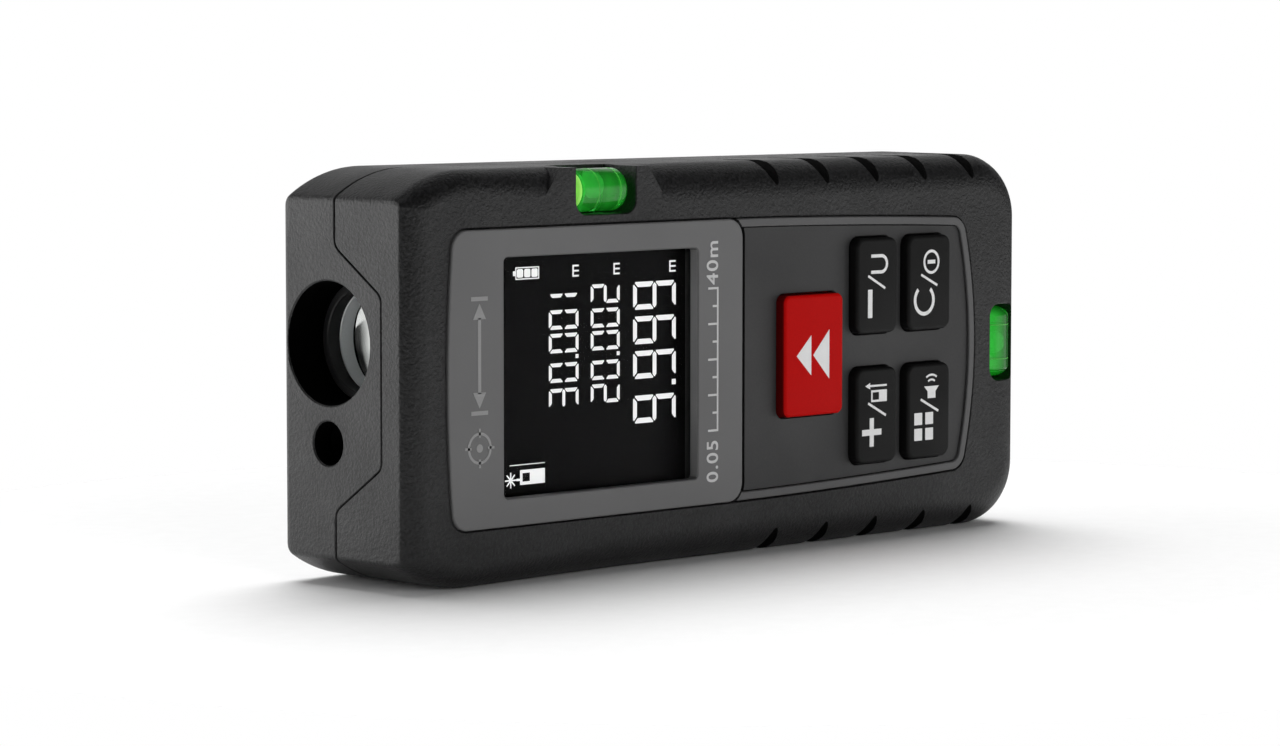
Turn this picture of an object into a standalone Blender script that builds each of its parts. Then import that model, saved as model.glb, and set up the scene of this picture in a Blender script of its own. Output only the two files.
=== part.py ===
"""Laser distance meter: two housing shells, display, keypad, optics, spirit levels and battery bay.

The meter stands on one long side: +Z is up, the display faces -Y and the laser end faces -X.
Sizes are written in millimetres in the meter's own directions and turned into metres by at():
    along  distance from the laser end, towards the bottom end (+X)
    depth  distance behind the display face (+Y)
    high   distance above the centre line of the display face (+Z)
"""
import math

import bmesh
import bpy
from mathutils import Matrix, Vector

MM = 0.001

# ---------------------------------------------------------------- driving dimensions (mm)
LENGTH = 112.0
WIDTH = 50.0
BACK = 22.7                     # depth of the back face
BUTTON_PROUD = 1.0              # the button tops stand this far out of the display face
GAP = 0.3                       # left between pieces that touch
WALL = 1.8
BACK_WALL = 1.5
FACE_WALL = 2.6

# plan outline
NOSE_HALF = 21.55               # half width of the laser end
NOSE_ARC = 11.0                 # length over which the laser end widens to the full width
FRONT_CORNER = 8.5              # corner radius at the bottom end, on the display side ...
BACK_CORNER = 5.5               # ... and at the back
SHOULDER = 3.3                  # rounding between display face and sides
NOSE_ROUND = 4.67               # rounding between display face and laser end ...
NOSE_SETBACK = 3.5              # ... which starts this far from the laser end
BACK_ROUND = 1.5

# seam between the shells, with the rear shell's bulge round the optics
SEAM = 13.1
BULGE_TOP = 4.8
BULGE_HALF = 10.18
BULGE_FOOT = 15.81
BULGE_THICK = 2.4

# optics
RECEIVER = (14.36, 4.21)        # depth and height of the receiver's axis
RECEIVER_R = 7.47
LENS_FACE = 9.4                 # how far down the hole the lens sits
TUBE_R = 8.3
TUBE_END = 13.0
LASER = (14.44, -7.79)
LASER_R = 2.66
BARREL_R = 3.2

# display and keypad
BEZEL = (6.1, 56.2)
BEZEL_HALF = 17.87
BEZEL_BULGE = 0.9               # how far the bezel's laser-end edge swells at its middle
WINDOW = (15.1, 48.15, -14.5, 14.45)
PANEL_END = 100.6
RIM = 1.15                      # width of the keypad's rim
MEASURE = (63.2, 74.3, -7.8, 7.8)
KEYS = {
    "minus_unit_button": (76.9, 84.8, 2.2, 14.65),
    "clear_power_button": (86.9, 95.3, 2.2, 14.65),
    "plus_reference_button": (76.9, 84.8, -14.75, -2.3),
    "mode_sound_button": (86.9, 95.3, -14.75, -2.3),
}
BOARD = (5.6, 6.8)              # depths of the main board's faces
GROOVES = [63.1 + 9.5 * i for i in range(5)]

# spirit levels
VIAL_R = 2.65
SIDE_VIAL = (27.6, 37.3, 2.9, 22.0)     # start, end, depth and height of the axis
END_VIAL = (-5.2, 4.6, 2.8, 107.5)      # low end, high end, depth and distance along

# battery bay
BAY = (60.0, 108.2)
BAY_HALF = 11.2
BAY_FLOOR = 10.3
CELL_R = 5.25
CELL_LONG = 44.5
CELL_HEIGHT = 5.6
CELL_DEPTH = 15.85
COVER = (59.4, 108.8, 13.2)    # start, end and half width

SCREWS = [(12.0, 19.6), (12.0, -19.6), (101.5, 19.2), (101.5, -19.2)]
BOARD_SCREWS = [(54.8, 12.0), (54.8, -12.0)]

CENTRE_DEPTH = (BACK - BUTTON_PROUD) / 2


def at(along, depth, high):
    """World position in metres of a place given in the meter's own directions."""
    return Vector(((along - LENGTH / 2) * MM, (depth - CENTRE_DEPTH) * MM, (high + WIDTH / 2) * MM))


# ---------------------------------------------------------------- scene, collections, materials
for old in list(bpy.data.objects):
    bpy.data.objects.remove(old, do_unlink=True)

PARTS = bpy.data.collections.new("laser_distance_meter")
CUTTERS = bpy.data.collections.new("cutters")
for collection in (PARTS, CUTTERS):
    bpy.context.scene.collection.children.link(collection)

FINISHES = {
    # name: (colour, roughness, metallic)
    "housing_black": ((0.035, 0.035, 0.036), 0.6, 0.0),
    "bezel_grey": ((0.14, 0.14, 0.14), 0.5, 0.0),
    "panel_grey": ((0.05, 0.05, 0.05), 0.55, 0.0),
    "button_black": ((0.012, 0.012, 0.012), 0.45, 0.0),
    "button_red": ((0.42, 0.012, 0.01), 0.4, 0.0),
    "clear": ((0.7, 0.75, 0.75), 0.05, 0.0),
    "lcd_black": ((0.005, 0.005, 0.006), 0.2, 0.0),
    "backlight": ((0.8, 0.8, 0.75), 0.4, 0.0),
    "board_green": ((0.01, 0.09, 0.03), 0.45, 0.0),
    "chip_black": ((0.015, 0.015, 0.015), 0.5, 0.0),
    "flex_amber": ((0.35, 0.12, 0.02), 0.4, 0.0),
    "bench_metal": ((0.35, 0.36, 0.37), 0.45, 1.0),
    "lens_glass": ((0.75, 0.8, 0.8), 0.02, 0.0),
    "brass": ((0.6, 0.42, 0.16), 0.3, 1.0),
    "steel": ((0.55, 0.55, 0.56), 0.3, 1.0),
    "vial_green": ((0.05, 0.5, 0.08), 0.08, 0.0),
    "plug_lime": ((0.45, 0.75, 0.15), 0.3, 0.0),
    "bubble": ((0.6, 0.9, 0.6), 0.05, 0.0),
    "cell_wrap": ((0.05, 0.12, 0.3), 0.35, 0.0),
    "lead_red": ((0.5, 0.02, 0.02), 0.4, 0.0),
    "lead_black": ((0.01, 0.01, 0.01), 0.4, 0.0),
}


def finish(name):
    """One Principled material for each finish, made when it is first asked for."""
    if name in bpy.data.materials:
        return bpy.data.materials[name]
    colour, rough, metal = FINISHES[name]
    material = bpy.data.materials.new(name)
    material.use_nodes = True
    shader = material.node_tree.nodes["Principled BSDF"]
    shader.inputs["Base Color"].default_value = (*colour, 1.0)
    shader.inputs["Roughness"].default_value = rough
    shader.inputs["Metallic"].default_value = metal
    return material


# ---------------------------------------------------------------- modelling helpers
def new_object(name, mesh, finish_name=None):
    """Link a mesh as a part with a finish, or as a cutter where it has none."""
    obj = bpy.data.objects.new(name, mesh)
    if finish_name is None:
        obj.hide_render = True
        obj.display_type = "WIRE"
        CUTTERS.objects.link(obj)
    else:
        mesh.materials.clear()
        mesh.materials.append(finish(finish_name))
        PARTS.objects.link(obj)
    return obj


def from_bmesh(name, bm, finish_name=None, round_above=None):
    mesh = bpy.data.meshes.new(name)
    bm.to_mesh(mesh)
    bm.free()
    if round_above is not None:
        mesh.shade_smooth()
        mesh.set_sharp_from_angle(angle=math.radians(round_above))
    return new_object(name, mesh, finish_name)


def baked(name, source, finish_name=None):
    """Replace a curve or a modified object by its finished mesh, in world places."""
    bpy.context.view_layer.update()
    depsgraph = bpy.context.evaluated_depsgraph_get()
    mesh = bpy.data.meshes.new_from_object(source.evaluated_get(depsgraph))
    mesh.transform(source.matrix_world)
    bpy.data.objects.remove(source, do_unlink=True)
    bm = bmesh.new()
    bm.from_mesh(mesh)
    bmesh.ops.remove_doubles(bm, verts=bm.verts, dist=1e-6)
    bmesh.ops.recalc_face_normals(bm, faces=bm.faces)
    bm.to_mesh(mesh)
    bm.free()
    mesh.name = name
    return new_object(name, mesh, finish_name)


# where a flat outline's own x, y and its thickness point, for each direction of extrusion
TURNS = {
    "depth": Matrix(((1, 0, 0), (0, 0, -1), (0, 1, 0))),      # outline (along, high)
    "along": Matrix(((0, 0, 1), (1, 0, 0), (0, 1, 0))),       # outline (depth, high)
    "high": Matrix(((1, 0, 0), (0, 1, 0), (0, 0, 1))),        # outline (along, depth)
}


def slab(name, outline, start, end, direction="depth", finish_name=None):
    """A flat outline given a thickness from start to end."""
    curve = bpy.data.curves.new(name, "CURVE")
    curve.dimensions = "2D"
    curve.fill_mode = "BOTH"
    curve.extrude = (end - start) / 2 * MM
    spline = curve.splines.new("POLY")
    spline.points.add(len(outline) - 1)
    spline.use_cyclic_u = True
    for point, (x, y) in zip(spline.points, outline):
        point.co = (x * MM, y * MM, 0, 1)
    obj = bpy.data.objects.new(name + "_outline", curve)
    CUTTERS.objects.link(obj)
    middle = (start + end) / 2
    place = {"depth": (0, middle, 0), "along": (middle, 0, 0), "high": (0, 0, middle)}[direction]
    obj.matrix_world = Matrix.Translation(at(*place)) @ TURNS[direction].to_4x4()
    return baked(name, obj, finish_name)


def box_outline(x0, x1, y0, y1, radius=0.0, steps=3):
    """Corner points of a rectangle, with rounded corners where a radius is given."""
    if radius <= 0:
        return [(x0, y0), (x1, y0), (x1, y1), (x0, y1)]
    corners = ((x1 - radius, y0 + radius, -90), (x1 - radius, y1 - radius, 0),
               (x0 + radius, y1 - radius, 90), (x0 + radius, y0 + radius, 180))
    points = []
    for cx, cy, turn in corners:
        for step in range(steps + 1):
            angle = math.radians(turn + 90 * step / steps)
            points.append((cx + radius * math.cos(angle), cy + radius * math.sin(angle)))
    return points


def grown(box, margin):
    """A rectangle moved outwards by a margin on every side."""
    return (box[0] - margin, box[1] + margin, box[2] - margin, box[3] + margin)


def block(name, low, high, finish_name=None, bevel=0.0):
    """A box between two corners, with small flat bevels where they are asked for."""
    low, high = at(*low), at(*high)
    bm = bmesh.new()
    bmesh.ops.create_cube(bm, size=1.0)
    bmesh.ops.scale(bm, vec=high - low, verts=bm.verts)
    bmesh.ops.translate(bm, vec=(low + high) / 2, verts=bm.verts)
    if bevel:
        bmesh.ops.bevel(bm, geom=list(bm.edges), offset=bevel * MM, segments=1, affect="EDGES")
    return from_bmesh(name, bm, finish_name)


AXES = {
    "along": Matrix.Rotation(math.radians(90), 4, "Y"),
    "depth": Matrix.Rotation(math.radians(-90), 4, "X"),
    "high": Matrix.Identity(4),
}


def rod(name, start, length, radius, axis="along", end_radius=None, sides=20, finish_name=None):
    """A cylinder or cone from its starting centre, running towards +X, +Y or +Z."""
    bm = bmesh.new()
    bmesh.ops.create_cone(bm, cap_ends=True, segments=sides, radius1=radius * MM,
                          radius2=(radius if end_radius is None else end_radius) * MM, depth=length * MM)
    bmesh.ops.translate(bm, vec=(0, 0, length * MM / 2), verts=bm.verts)
    bmesh.ops.transform(bm, matrix=Matrix.Translation(at(*start)) @ AXES[axis], verts=bm.verts)
    return from_bmesh(name, bm, finish_name, round_above=40)


def turned(name, profile, start, axis, finish_name=None, sides=20):
    """A profile of (radius, distance from start), outer side top to bottom, spun round an axis."""
    mesh = bpy.data.meshes.new(name + "_profile")
    verts = [(radius * MM, 0, distance * MM) for radius, distance in profile]
    mesh.from_pydata(verts, [(i, i + 1) for i in range(len(verts) - 1)], [])
    obj = new_object(name + "_spin", mesh)
    obj.matrix_world = Matrix.Translation(at(*start)) @ AXES[axis]
    spin = obj.modifiers.new("spin", "SCREW")
    spin.steps = spin.render_steps = sides
    spin.use_merge_vertices = True
    spin.merge_threshold = 1e-6
    piece = baked(name, obj, finish_name)
    piece.data.shade_smooth()
    piece.data.set_sharp_from_angle(angle=math.radians(40))
    return piece


def wire(name, points, radius, finish_name=None):
    """A round wire through a list of places."""
    curve = bpy.data.curves.new(name, "CURVE")
    curve.dimensions = "3D"
    curve.bevel_depth = radius * MM
    curve.bevel_resolution = 1
    curve.use_fill_caps = True
    spline = curve.splines.new("POLY")
    spline.points.add(len(points) - 1)
    for point, place in zip(spline.points, points):
        point.co = (*at(*place), 1)
    obj = bpy.data.objects.new(name + "_path", curve)
    CUTTERS.objects.link(obj)
    return baked(name, obj, finish_name)


def loft(name, rings, finish_name=None):
    """A closed skin over rings of places that all have the same count, with flat ends."""
    bm = bmesh.new()
    loops = [[bm.verts.new(at(*place)) for place in ring] for ring in rings]
    count = len(loops[0])
    for near, far in zip(loops, loops[1:]):
        for i in range(count):
            j = (i + 1) % count
            bm.faces.new((near[i], near[j], far[j], far[i]))
    bm.faces.new(loops[0])
    bm.faces.new(loops[-1])
    bmesh.ops.recalc_face_normals(bm, faces=bm.faces)
    return from_bmesh(name, bm, finish_name, round_above=35)


def combine(target, tools, operation):
    for tool in tools:
        step = target.modifiers.new(tool.name, "BOOLEAN")
        step.operation = operation
        step.object = tool
    return target


def cut(target, *tools):
    return combine(target, tools, "DIFFERENCE")


def join(target, *tools):
    return combine(target, tools, "UNION")


def settle(obj, place):
    """Put a moving piece's origin on its joint's axis."""
    centre = at(*place)
    obj.data.transform(Matrix.Translation(-centre))
    obj.location = centre
    return obj


# ---------------------------------------------------------------- body shape
def body_ring(depth, inset=0.0, nose=0.0, arc_steps=4, corner_steps=6):
    """The plan outline at one depth, moved inwards by inset, with its laser end at nose."""
    reach = (NOSE_ARC ** 2 + (WIDTH / 2 - NOSE_HALF) ** 2) / (2 * (WIDTH / 2 - NOSE_HALF))
    centre_high = WIDTH / 2 - reach
    start = math.asin((NOSE_ARC - nose) / (reach - inset))
    corner = end_radius(depth)
    half = []
    for i in range(arc_steps + 1):
        angle = start * (1 - i / arc_steps)
        half.append((NOSE_ARC - (reach - inset) * math.sin(angle),
                     centre_high + (reach - inset) * math.cos(angle)))
    for i in range(corner_steps + 1):
        angle = math.radians(90 * i / corner_steps)
        half.append((LENGTH - corner + (corner - inset) * math.sin(angle),
                     WIDTH / 2 - corner + (corner - inset) * math.cos(angle)))
    upper = [(along, depth, high) for along, high in half]
    lower = [(along, depth, -high) for along, high in reversed(half)]
    return upper + lower


def end_radius(depth):
    """The bottom end's corners get tighter from the shoulder to the back."""
    share = min(1.0, max(0.0, (depth - SHOULDER) / (BACK - SHOULDER)))
    return FRONT_CORNER + (BACK_CORNER - FRONT_CORNER) * share


def shoulder_inset(depth):
    return SHOULDER - math.sqrt(SHOULDER ** 2 - (SHOULDER - min(depth, SHOULDER)) ** 2)


def nose_inset(depth):
    fall = NOSE_ROUND - min(depth, NOSE_ROUND)
    return max(0.0, NOSE_SETBACK - math.sqrt(NOSE_ROUND ** 2 - fall ** 2))


def bulge_outline(margin, foot):
    """Outline (depth, high) of the bulge round the optics, moved outwards by a margin."""
    high, low = BULGE_FOOT + margin, BULGE_HALF + margin * 0.6
    half = [(foot, high), (SEAM, high), (BULGE_TOP - margin, low)]
    return half + [(depth, -across) for depth, across in reversed(half)]


# ---------------------------------------------------------------- front housing
def bezel_outline(margin=0.0):
    """Bezel plate (along, high): its laser-end edge swells, its corners are round."""
    x0, x1, half = BEZEL[0] - margin, BEZEL[1] + margin, BEZEL_HALF + margin
    points = box_outline(x0, x1, -half, half, 2.4, 4)
    swell = []
    for i in range(9):
        high = (half - 3.5) * (1 - i / 4)
        swell.append((x0 - BEZEL_BULGE * (1 - (high / half) ** 2) + BEZEL_BULGE, high))
    shifted = [(x + (BEZEL_BULGE if x < x0 + 3 else 0), y) for x, y in points]
    upper = [p for p in shifted if p[0] > x0 + 4 or p[1] > 0]
    lower = [p for p in shifted if p[0] <= x0 + 4 and p[1] <= 0]
    return upper + swell + lower


def keypad_outline(margin=0.0):
    """Keypad field (along, high): it narrows slightly towards a curved bottom end."""
    x0, x1 = BEZEL[1] + GAP, PANEL_END
    half = [(x0, BEZEL_HALF + margin), (76.5, 17.55 + margin), (96.0, 16.9 + margin)]
    for i in range(1, 4):
        angle = math.radians(90 - 28 * i)
        half.append((96.9 + (2.6 + margin) * math.cos(angle), 14.3 + (2.6 + margin) * math.sin(angle)))
    half.append((x1 + margin, 9.0))
    half.append((x1 + 0.6 + margin, 3.0))
    return half + [(x, -y) for x, y in reversed(half)]


def groove_path(along, side):
    """A grip groove runs over the shoulder and along the side."""
    points = ((0.2, 22.6), (1.0, 23.9), (2.3, 24.9), (4.0, 25.3), (8.0, 25.4), (11.6, 25.9))
    return [(along, depth, side * high) for depth, high in points]


def front_housing():
    depths = (0.0, 0.45, 1.0, 1.58, 2.4, SHOULDER, SEAM - GAP / 2)
    rings = [body_ring(d, shoulder_inset(d), nose_inset(d)) for d in depths]
    shell = loft("front_housing", rings, "housing_black")
    inner = [body_ring(d, WALL + 0.4, WALL + 0.4) for d in (FACE_WALL, SEAM + 2)]
    cut(shell, loft("front_cavity", inner))

    pad = slab("vial_pad", [(22.3, 19.0), (22.3, 21.8), (24.8, 24.9), (39.6, 24.9), (42.0, 21.7),
                            (42.0, 19.0)], 0.02, 4.5)
    side_case = block("side_vial_case", (26.2, 1.0, 17.9), (38.7, 7.2, 24.0))
    end_case = block("end_vial_case", (103.4, 1.0, -6.6), (110.8, 6.9, 6.0))
    join(shell, pad, side_case, end_case)
    for i, (along, high) in enumerate(SCREWS):
        join(shell, rod(f"front_post_{i}", (along, 2.0, high), SEAM - GAP / 2 - 2.0, 2.8, "depth", sides=12))
    for i, (along, high) in enumerate(BOARD_SCREWS):
        join(shell, rod(f"board_post_{i}", (along, 2.0, high), 3.3, 2.2, "depth", sides=12))

    start, end, depth, high = SIDE_VIAL
    room = VIAL_R + GAP
    cut(shell, slab("side_vial_pocket", box_outline(start - GAP, end + GAP, high - room, 28, 1.6),
                    -2.0, depth + room))
    low, top, depth, along = END_VIAL
    cut(shell, slab("end_vial_pocket", box_outline(along - room, along + room, low - GAP, top + GAP, 1.4),
                    -2.0, depth + room))
    cut(shell, slab("bezel_pocket", bezel_outline(GAP), -2.0, 1.4))
    cut(shell, slab("keypad_pocket", keypad_outline(GAP), -2.0, 1.7))
    cut(shell, slab("display_opening", box_outline(13.6, 49.7, -15.9, 15.9), 1.0, 3.0))
    cut(shell, slab("keypad_opening", box_outline(61.5, 97.0, -15.6, 15.6), 1.2, 3.0))
    cut(shell, slab("nose_notch", bulge_outline(GAP / 2, SEAM + 2), -1.0, BULGE_THICK + GAP, "along"))
    for i, (along, high) in enumerate(SCREWS):
        cut(shell, rod(f"front_screw_hole_{i}", (along, 5.5, high), 9.0, 1.45, "depth", sides=12))
    for i, (along, high) in enumerate(BOARD_SCREWS):
        cut(shell, rod(f"board_screw_hole_{i}", (along, 3.2, high), 3.0, 1.15, "depth", sides=12))
    for side in (1, -1):
        for i, along in enumerate(GROOVES):
            cut(shell, wire(f"groove_{i}_{'upper' if side > 0 else 'lower'}",
                            groove_path(along, side), 0.9))


# ---------------------------------------------------------------- rear housing
def rear_housing():
    depths = (SEAM + GAP / 2, BACK - BACK_ROUND, BACK - 0.55, BACK - 0.15, BACK)
    insets = (0.0, 0.0, 0.35, 0.75, 1.4)
    rings = [body_ring(d, inset, inset) for d, inset in zip(depths, insets)]
    shell = loft("rear_housing", rings, "housing_black")
    inner = [body_ring(d, WALL, WALL) for d in (SEAM - 2, BACK - BACK_WALL)]
    cut(shell, loft("rear_cavity", inner))

    join(shell, slab("nose", bulge_outline(-GAP / 2, BACK - 1.0), 0.0, BULGE_THICK, "along"))
    join(shell, rod("receiver_tube", (1.0, *RECEIVER), TUBE_END - 1.0, TUBE_R, sides=28))
    join(shell, block("bay_case", (BAY[0] - 1.0, BAY_FLOOR - 1.0, -13.8), (BAY[1] + 1.2, BACK - 0.6, 13.8)))
    for i, (along, high) in enumerate(SCREWS):
        join(shell, rod(f"rear_post_{i}", (along, SEAM + GAP / 2, high), 8.5, 3.4, "depth", sides=12))

    cut(shell, rod("receiver_bore", (-1.0, *RECEIVER), TUBE_END + 3, RECEIVER_R, sides=28))
    cut(shell, rod("laser_bore", (-1.0, *LASER), 4.5, LASER_R, sides=16))
    cut(shell, block("bay_room", (BAY[0], BAY_FLOOR, -BAY_HALF), (BAY[1], BACK + 1, BAY_HALF)))
    start, end, half = COVER
    cut(shell, slab("cover_room", box_outline(start - GAP, end + GAP, -half - GAP, half + GAP, 1.5),
                    BACK - 1.6, BACK + 1))
    for i, (along, high) in enumerate(SCREWS):
        cut(shell, rod(f"head_room_{i}", (along, 18.0, high), 6.0, 2.6, "depth", sides=12),
            rod(f"rear_screw_hole_{i}", (along, SEAM - 1, high), 6.0, 1.45, "depth", sides=12))


def battery_cover():
    start, end, half = COVER
    cover = slab("battery_cover", box_outline(start, end, -half, half, 1.2), BACK - 1.3, BACK,
                 finish_name="housing_black")
    thumb = slab("thumb_recess", box_outline(start + 2.5, start + 5.5, -6, 6, 1.4), BACK - 0.6, BACK + 1)
    cut(cover, thumb)
    settle(cover, ((start + end) / 2, BACK - 0.65, 0))


# ---------------------------------------------------------------- display
def display():
    bezel = slab("display_bezel", bezel_outline(), -0.3, 1.1, finish_name="bezel_grey")
    cut(bezel, slab("bezel_window", box_outline(*WINDOW), -1.0, 2.0))
    block("display_window", (14.0, 1.4, -15.5), (49.3, 2.1, 15.5), "clear")
    block("lcd_panel", (14.0, 2.4, -15.4), (49.3, 4.0, 15.4), "lcd_black", 0.15)
    block("lcd_backlight", (14.2, 4.3, -15.2), (49.1, 5.3, 15.2), "backlight", 0.15)
    block("display_flex", (50.1, 2.9, -9.0), (51.2, 5.3, 9.0), "flex_amber", 0.2)


# ---------------------------------------------------------------- keypad
def keypad():
    rim = slab("keypad_rim", keypad_outline(), -0.05, 1.4, finish_name="bezel_grey")
    inner = [(56.0, 16.7), (76.5, 16.4), (96.0, 15.8), (98.0, 14.6), (99.3, 12.2), (100.2, 3.5)]
    inner += [(x, -y) for x, y in reversed(inner)]
    cut(rim, slab("rim_field", inner, -1.0, 3.0))
    field = [(56.8, 16.4), (76.5, 16.1), (95.9, 15.5), (97.8, 14.35), (99.0, 12.1), (99.9, 3.5)]
    field += [(x, -y) for x, y in reversed(field)]
    panel = slab("keypad_panel", field, 0.4, 1.4, finish_name="panel_grey")
    for name, box in {"measure_button": MEASURE, **KEYS}.items():
        cut(panel, slab(name + "_hole", box_outline(*grown(box, GAP), 1.2), -1.0, 3.0))


def button(name, box, radius, finish_name):
    """A key with an eased top edge, and a flange that holds it in behind the panel."""
    levels = ((-BUTTON_PROUD, -0.35), (-0.65, 0.0), (1.75, 0.0), (1.75, 0.5), (2.5, 0.5), (2.5, 0.0), (3.0, 0.0))
    rings = []
    for depth, margin in levels:
        outline = box_outline(*grown(box, margin), radius + margin * 0.5)
        rings.append([(along, depth, high) for along, high in outline])
    key = loft(name, rings, finish_name)
    settle(key, ((box[0] + box[1]) / 2, 0.0, (box[2] + box[3]) / 2))


def tactile_switches():
    """One switch under each key, all sharing one mesh."""
    case = block("switch_case", (-2.2, 4.3, -2.2), (2.2, BOARD[0] - GAP, 2.2), None, 0.25)
    join(case, rod("switch_stem", (0, 3.65, 0), 1.0, 1.2, "depth", sides=12))
    shared = baked("switch_measure", case, "chip_black")
    shared.data.transform(Matrix.Translation(-at(0, 0, 0)))
    boxes = {"switch_measure": MEASURE, "switch_minus": KEYS["minus_unit_button"],
             "switch_clear": KEYS["clear_power_button"], "switch_plus": KEYS["plus_reference_button"],
             "switch_mode": KEYS["mode_sound_button"]}
    for name, box in boxes.items():
        obj = shared if name == shared.name else new_object(name, shared.data, "chip_black")
        obj.location = at((box[0] + box[1]) / 2, 0, (box[2] + box[3]) / 2)


# ---------------------------------------------------------------- electronics
def electronics():
    board = slab("main_board", box_outline(15.5, 98.0, -17.3, 17.3, 1.0, 2), *BOARD, finish_name="board_green")
    for i, (along, high) in enumerate(BOARD_SCREWS):
        cut(board, rod(f"board_hole_{i}", (along, 5.0, high), 3.0, 1.15, "depth", sides=12))
        profile = [(0, 4.8), (1.3, 4.8), (1.7, 4.4), (1.7, 3.9), (0.8, 3.9), (0.8, 0.6), (0.3, 0), (0, 0)]
        turned(f"board_screw_{i + 1}", profile, (along, 3.4 - GAP + 0.1, high), "depth", "steel", 12)
    block("processor_chip", (66.0, 7.1, -4.0), (74.0, 8.2, 4.0), "chip_black", 0.2)
    block("timing_chip", (50.0, 7.1, 0.5), (54.0, 8.0, 4.5), "chip_black", 0.2)
    rod("buzzer", (51.8, 7.1, -7.0), 2.6, 4.0, "depth", sides=24, finish_name="chip_black")
    block("sensor_board", (44.3, 7.1, -5.0), (45.3, 20.6, 12.4), "board_green", 0.1)
    flex = [(45.6, 7.1), (48.5, 7.1), (48.5, 7.35), (45.85, 7.35), (45.85, 12.0), (45.6, 12.0)]
    slab("sensor_flex", flex, 1.0, 9.0, "high", "flex_amber")


# ---------------------------------------------------------------- optics
def optics():
    bench = block("optical_bench", (TUBE_END + GAP, 7.1, -12.8), (44.0, 20.9, 12.4), "bench_metal", 0.4)
    cut(bench, rod("light_cone", (TUBE_END - 0.1, *RECEIVER), 27.0, 6.0, end_radius=2.6, sides=24),
        rod("diode_bore", (38.0, *RECEIVER), 8.0, 2.7, sides=20),
        rod("barrel_bore", (TUBE_END - 1, *LASER), 12.0, BARREL_R + GAP, sides=20),
        rod("lead_bore", (24.0, *LASER), 24.0, 1.8, sides=12))
    lens_r, sag, edge = 7.1, 1.3, 1.4
    sphere = (lens_r ** 2 + sag ** 2) / (2 * sag)
    radii = [lens_r * (1 - i / 5) for i in range(6)]
    front = [(r, sag - (sphere - math.sqrt(sphere ** 2 - r ** 2))) for r in radii]
    top = [(r, edge / 2 + h) for r, h in reversed(front)]
    bottom = [(r, -edge / 2 - h * 0.4) for r, h in front]
    turned("receiver_lens", top + bottom, (LENS_FACE + edge / 2 + sag * 0.4, *RECEIVER), "along", "lens_glass", 28)
    ring = [(6.5, 2.0), (7.15, 2.0), (7.15, 0), (6.2, 0), (6.5, 2.0)]
    turned("lens_retainer", ring, (LENS_FACE - 2.4, *RECEIVER), "along", "bench_metal", 28)
    rod("optical_filter", (40.2, *RECEIVER), 0.7, 2.35, sides=20, finish_name="lens_glass")
    rod("photodiode", (41.5, *RECEIVER), 2.5, 2.3, sides=20, finish_name="brass")
    tube = [(2.4, 16.5), (BARREL_R, 16.5), (BARREL_R, 0), (2.0, 0), (2.4, 0.8), (2.4, 16.5)]
    turned("laser_barrel", tube, (BULGE_THICK + 0.4, *LASER), "along", "brass", 20)
    rod("collimator_lens", (4.2, *LASER), 1.6, 2.05, sides=16, finish_name="lens_glass")
    rod("laser_diode", (15.5, *LASER), 3.0, 2.05, sides=16, finish_name="brass")


# ---------------------------------------------------------------- spirit levels
def capsule_profile(radius, length, tip, steps=4):
    """Profile of a rod with both ends domed, by a tip that is shorter than the radius."""
    quarter = [(radius * math.sin(math.radians(90 * i / steps)),
                tip * math.cos(math.radians(90 * i / steps))) for i in range(steps + 1)]
    top = [(r, length - tip + h) for r, h in quarter]
    bottom = [(r, tip - h) for r, h in reversed(quarter)]
    return top + bottom


def vial_profile(length):
    """A vial with a domed closed end, and its bore open at the other."""
    dome = [(VIAL_R * math.sin(math.radians(30 * i)), length - 1.6 + 1.6 * math.cos(math.radians(30 * i)))
            for i in range(4)]
    return dome + [(VIAL_R, 0.9), (VIAL_R - 0.5, 0), (2.05, 0), (2.05, length - 1.4), (0, length - 1.4)]


def spirit_level(prefix, start, length, axis, bubble_at, run):
    """Vial, the plug in its open end, and the bubble that floats inside."""
    turned(prefix + "_vial", vial_profile(length), start, axis, "vial_green", 20)
    step = Vector((1, 0, 0)) if axis == "along" else Vector((0, 0, 1))
    plug_start = Vector(start) + step * 0.05
    rod(prefix + "_vial_plug", tuple(plug_start), 1.1, 1.75, axis, sides=16, finish_name="plug_lime")
    bubble = turned(prefix + "_bubble", capsule_profile(1.2, run, 1.1), bubble_at, axis, "bubble", 14)
    settle(bubble, tuple(Vector(bubble_at) + step * run / 2))


def spirit_levels():
    start, end, depth, high = SIDE_VIAL
    spirit_level("side", (start, depth, high), end - start, "along", (start + 2.9, depth - 0.3, high + 0.5), 3.0)
    low, top, depth, along = END_VIAL
    spirit_level("end", (along, depth, low), top - low, "high", (along, depth - 0.6, -1.9), 3.0)


# ---------------------------------------------------------------- battery bay
def cell_spring(name, start, grow, high):
    """A short cone-shaped coil that presses on a cell's flat end."""
    turns, per_turn, rise = 2.5, 10, 1.0
    count = int(turns * per_turn)
    points = []
    for i in range(count + 1):
        angle = 2 * math.pi * i / per_turn
        radius = 3.4 - 1.6 * i / count
        points.append((start + grow * rise * i / count, CELL_DEPTH + radius * math.cos(angle),
                       high + radius * math.sin(angle)))
    wire(name, points, 0.22, "steel")


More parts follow.
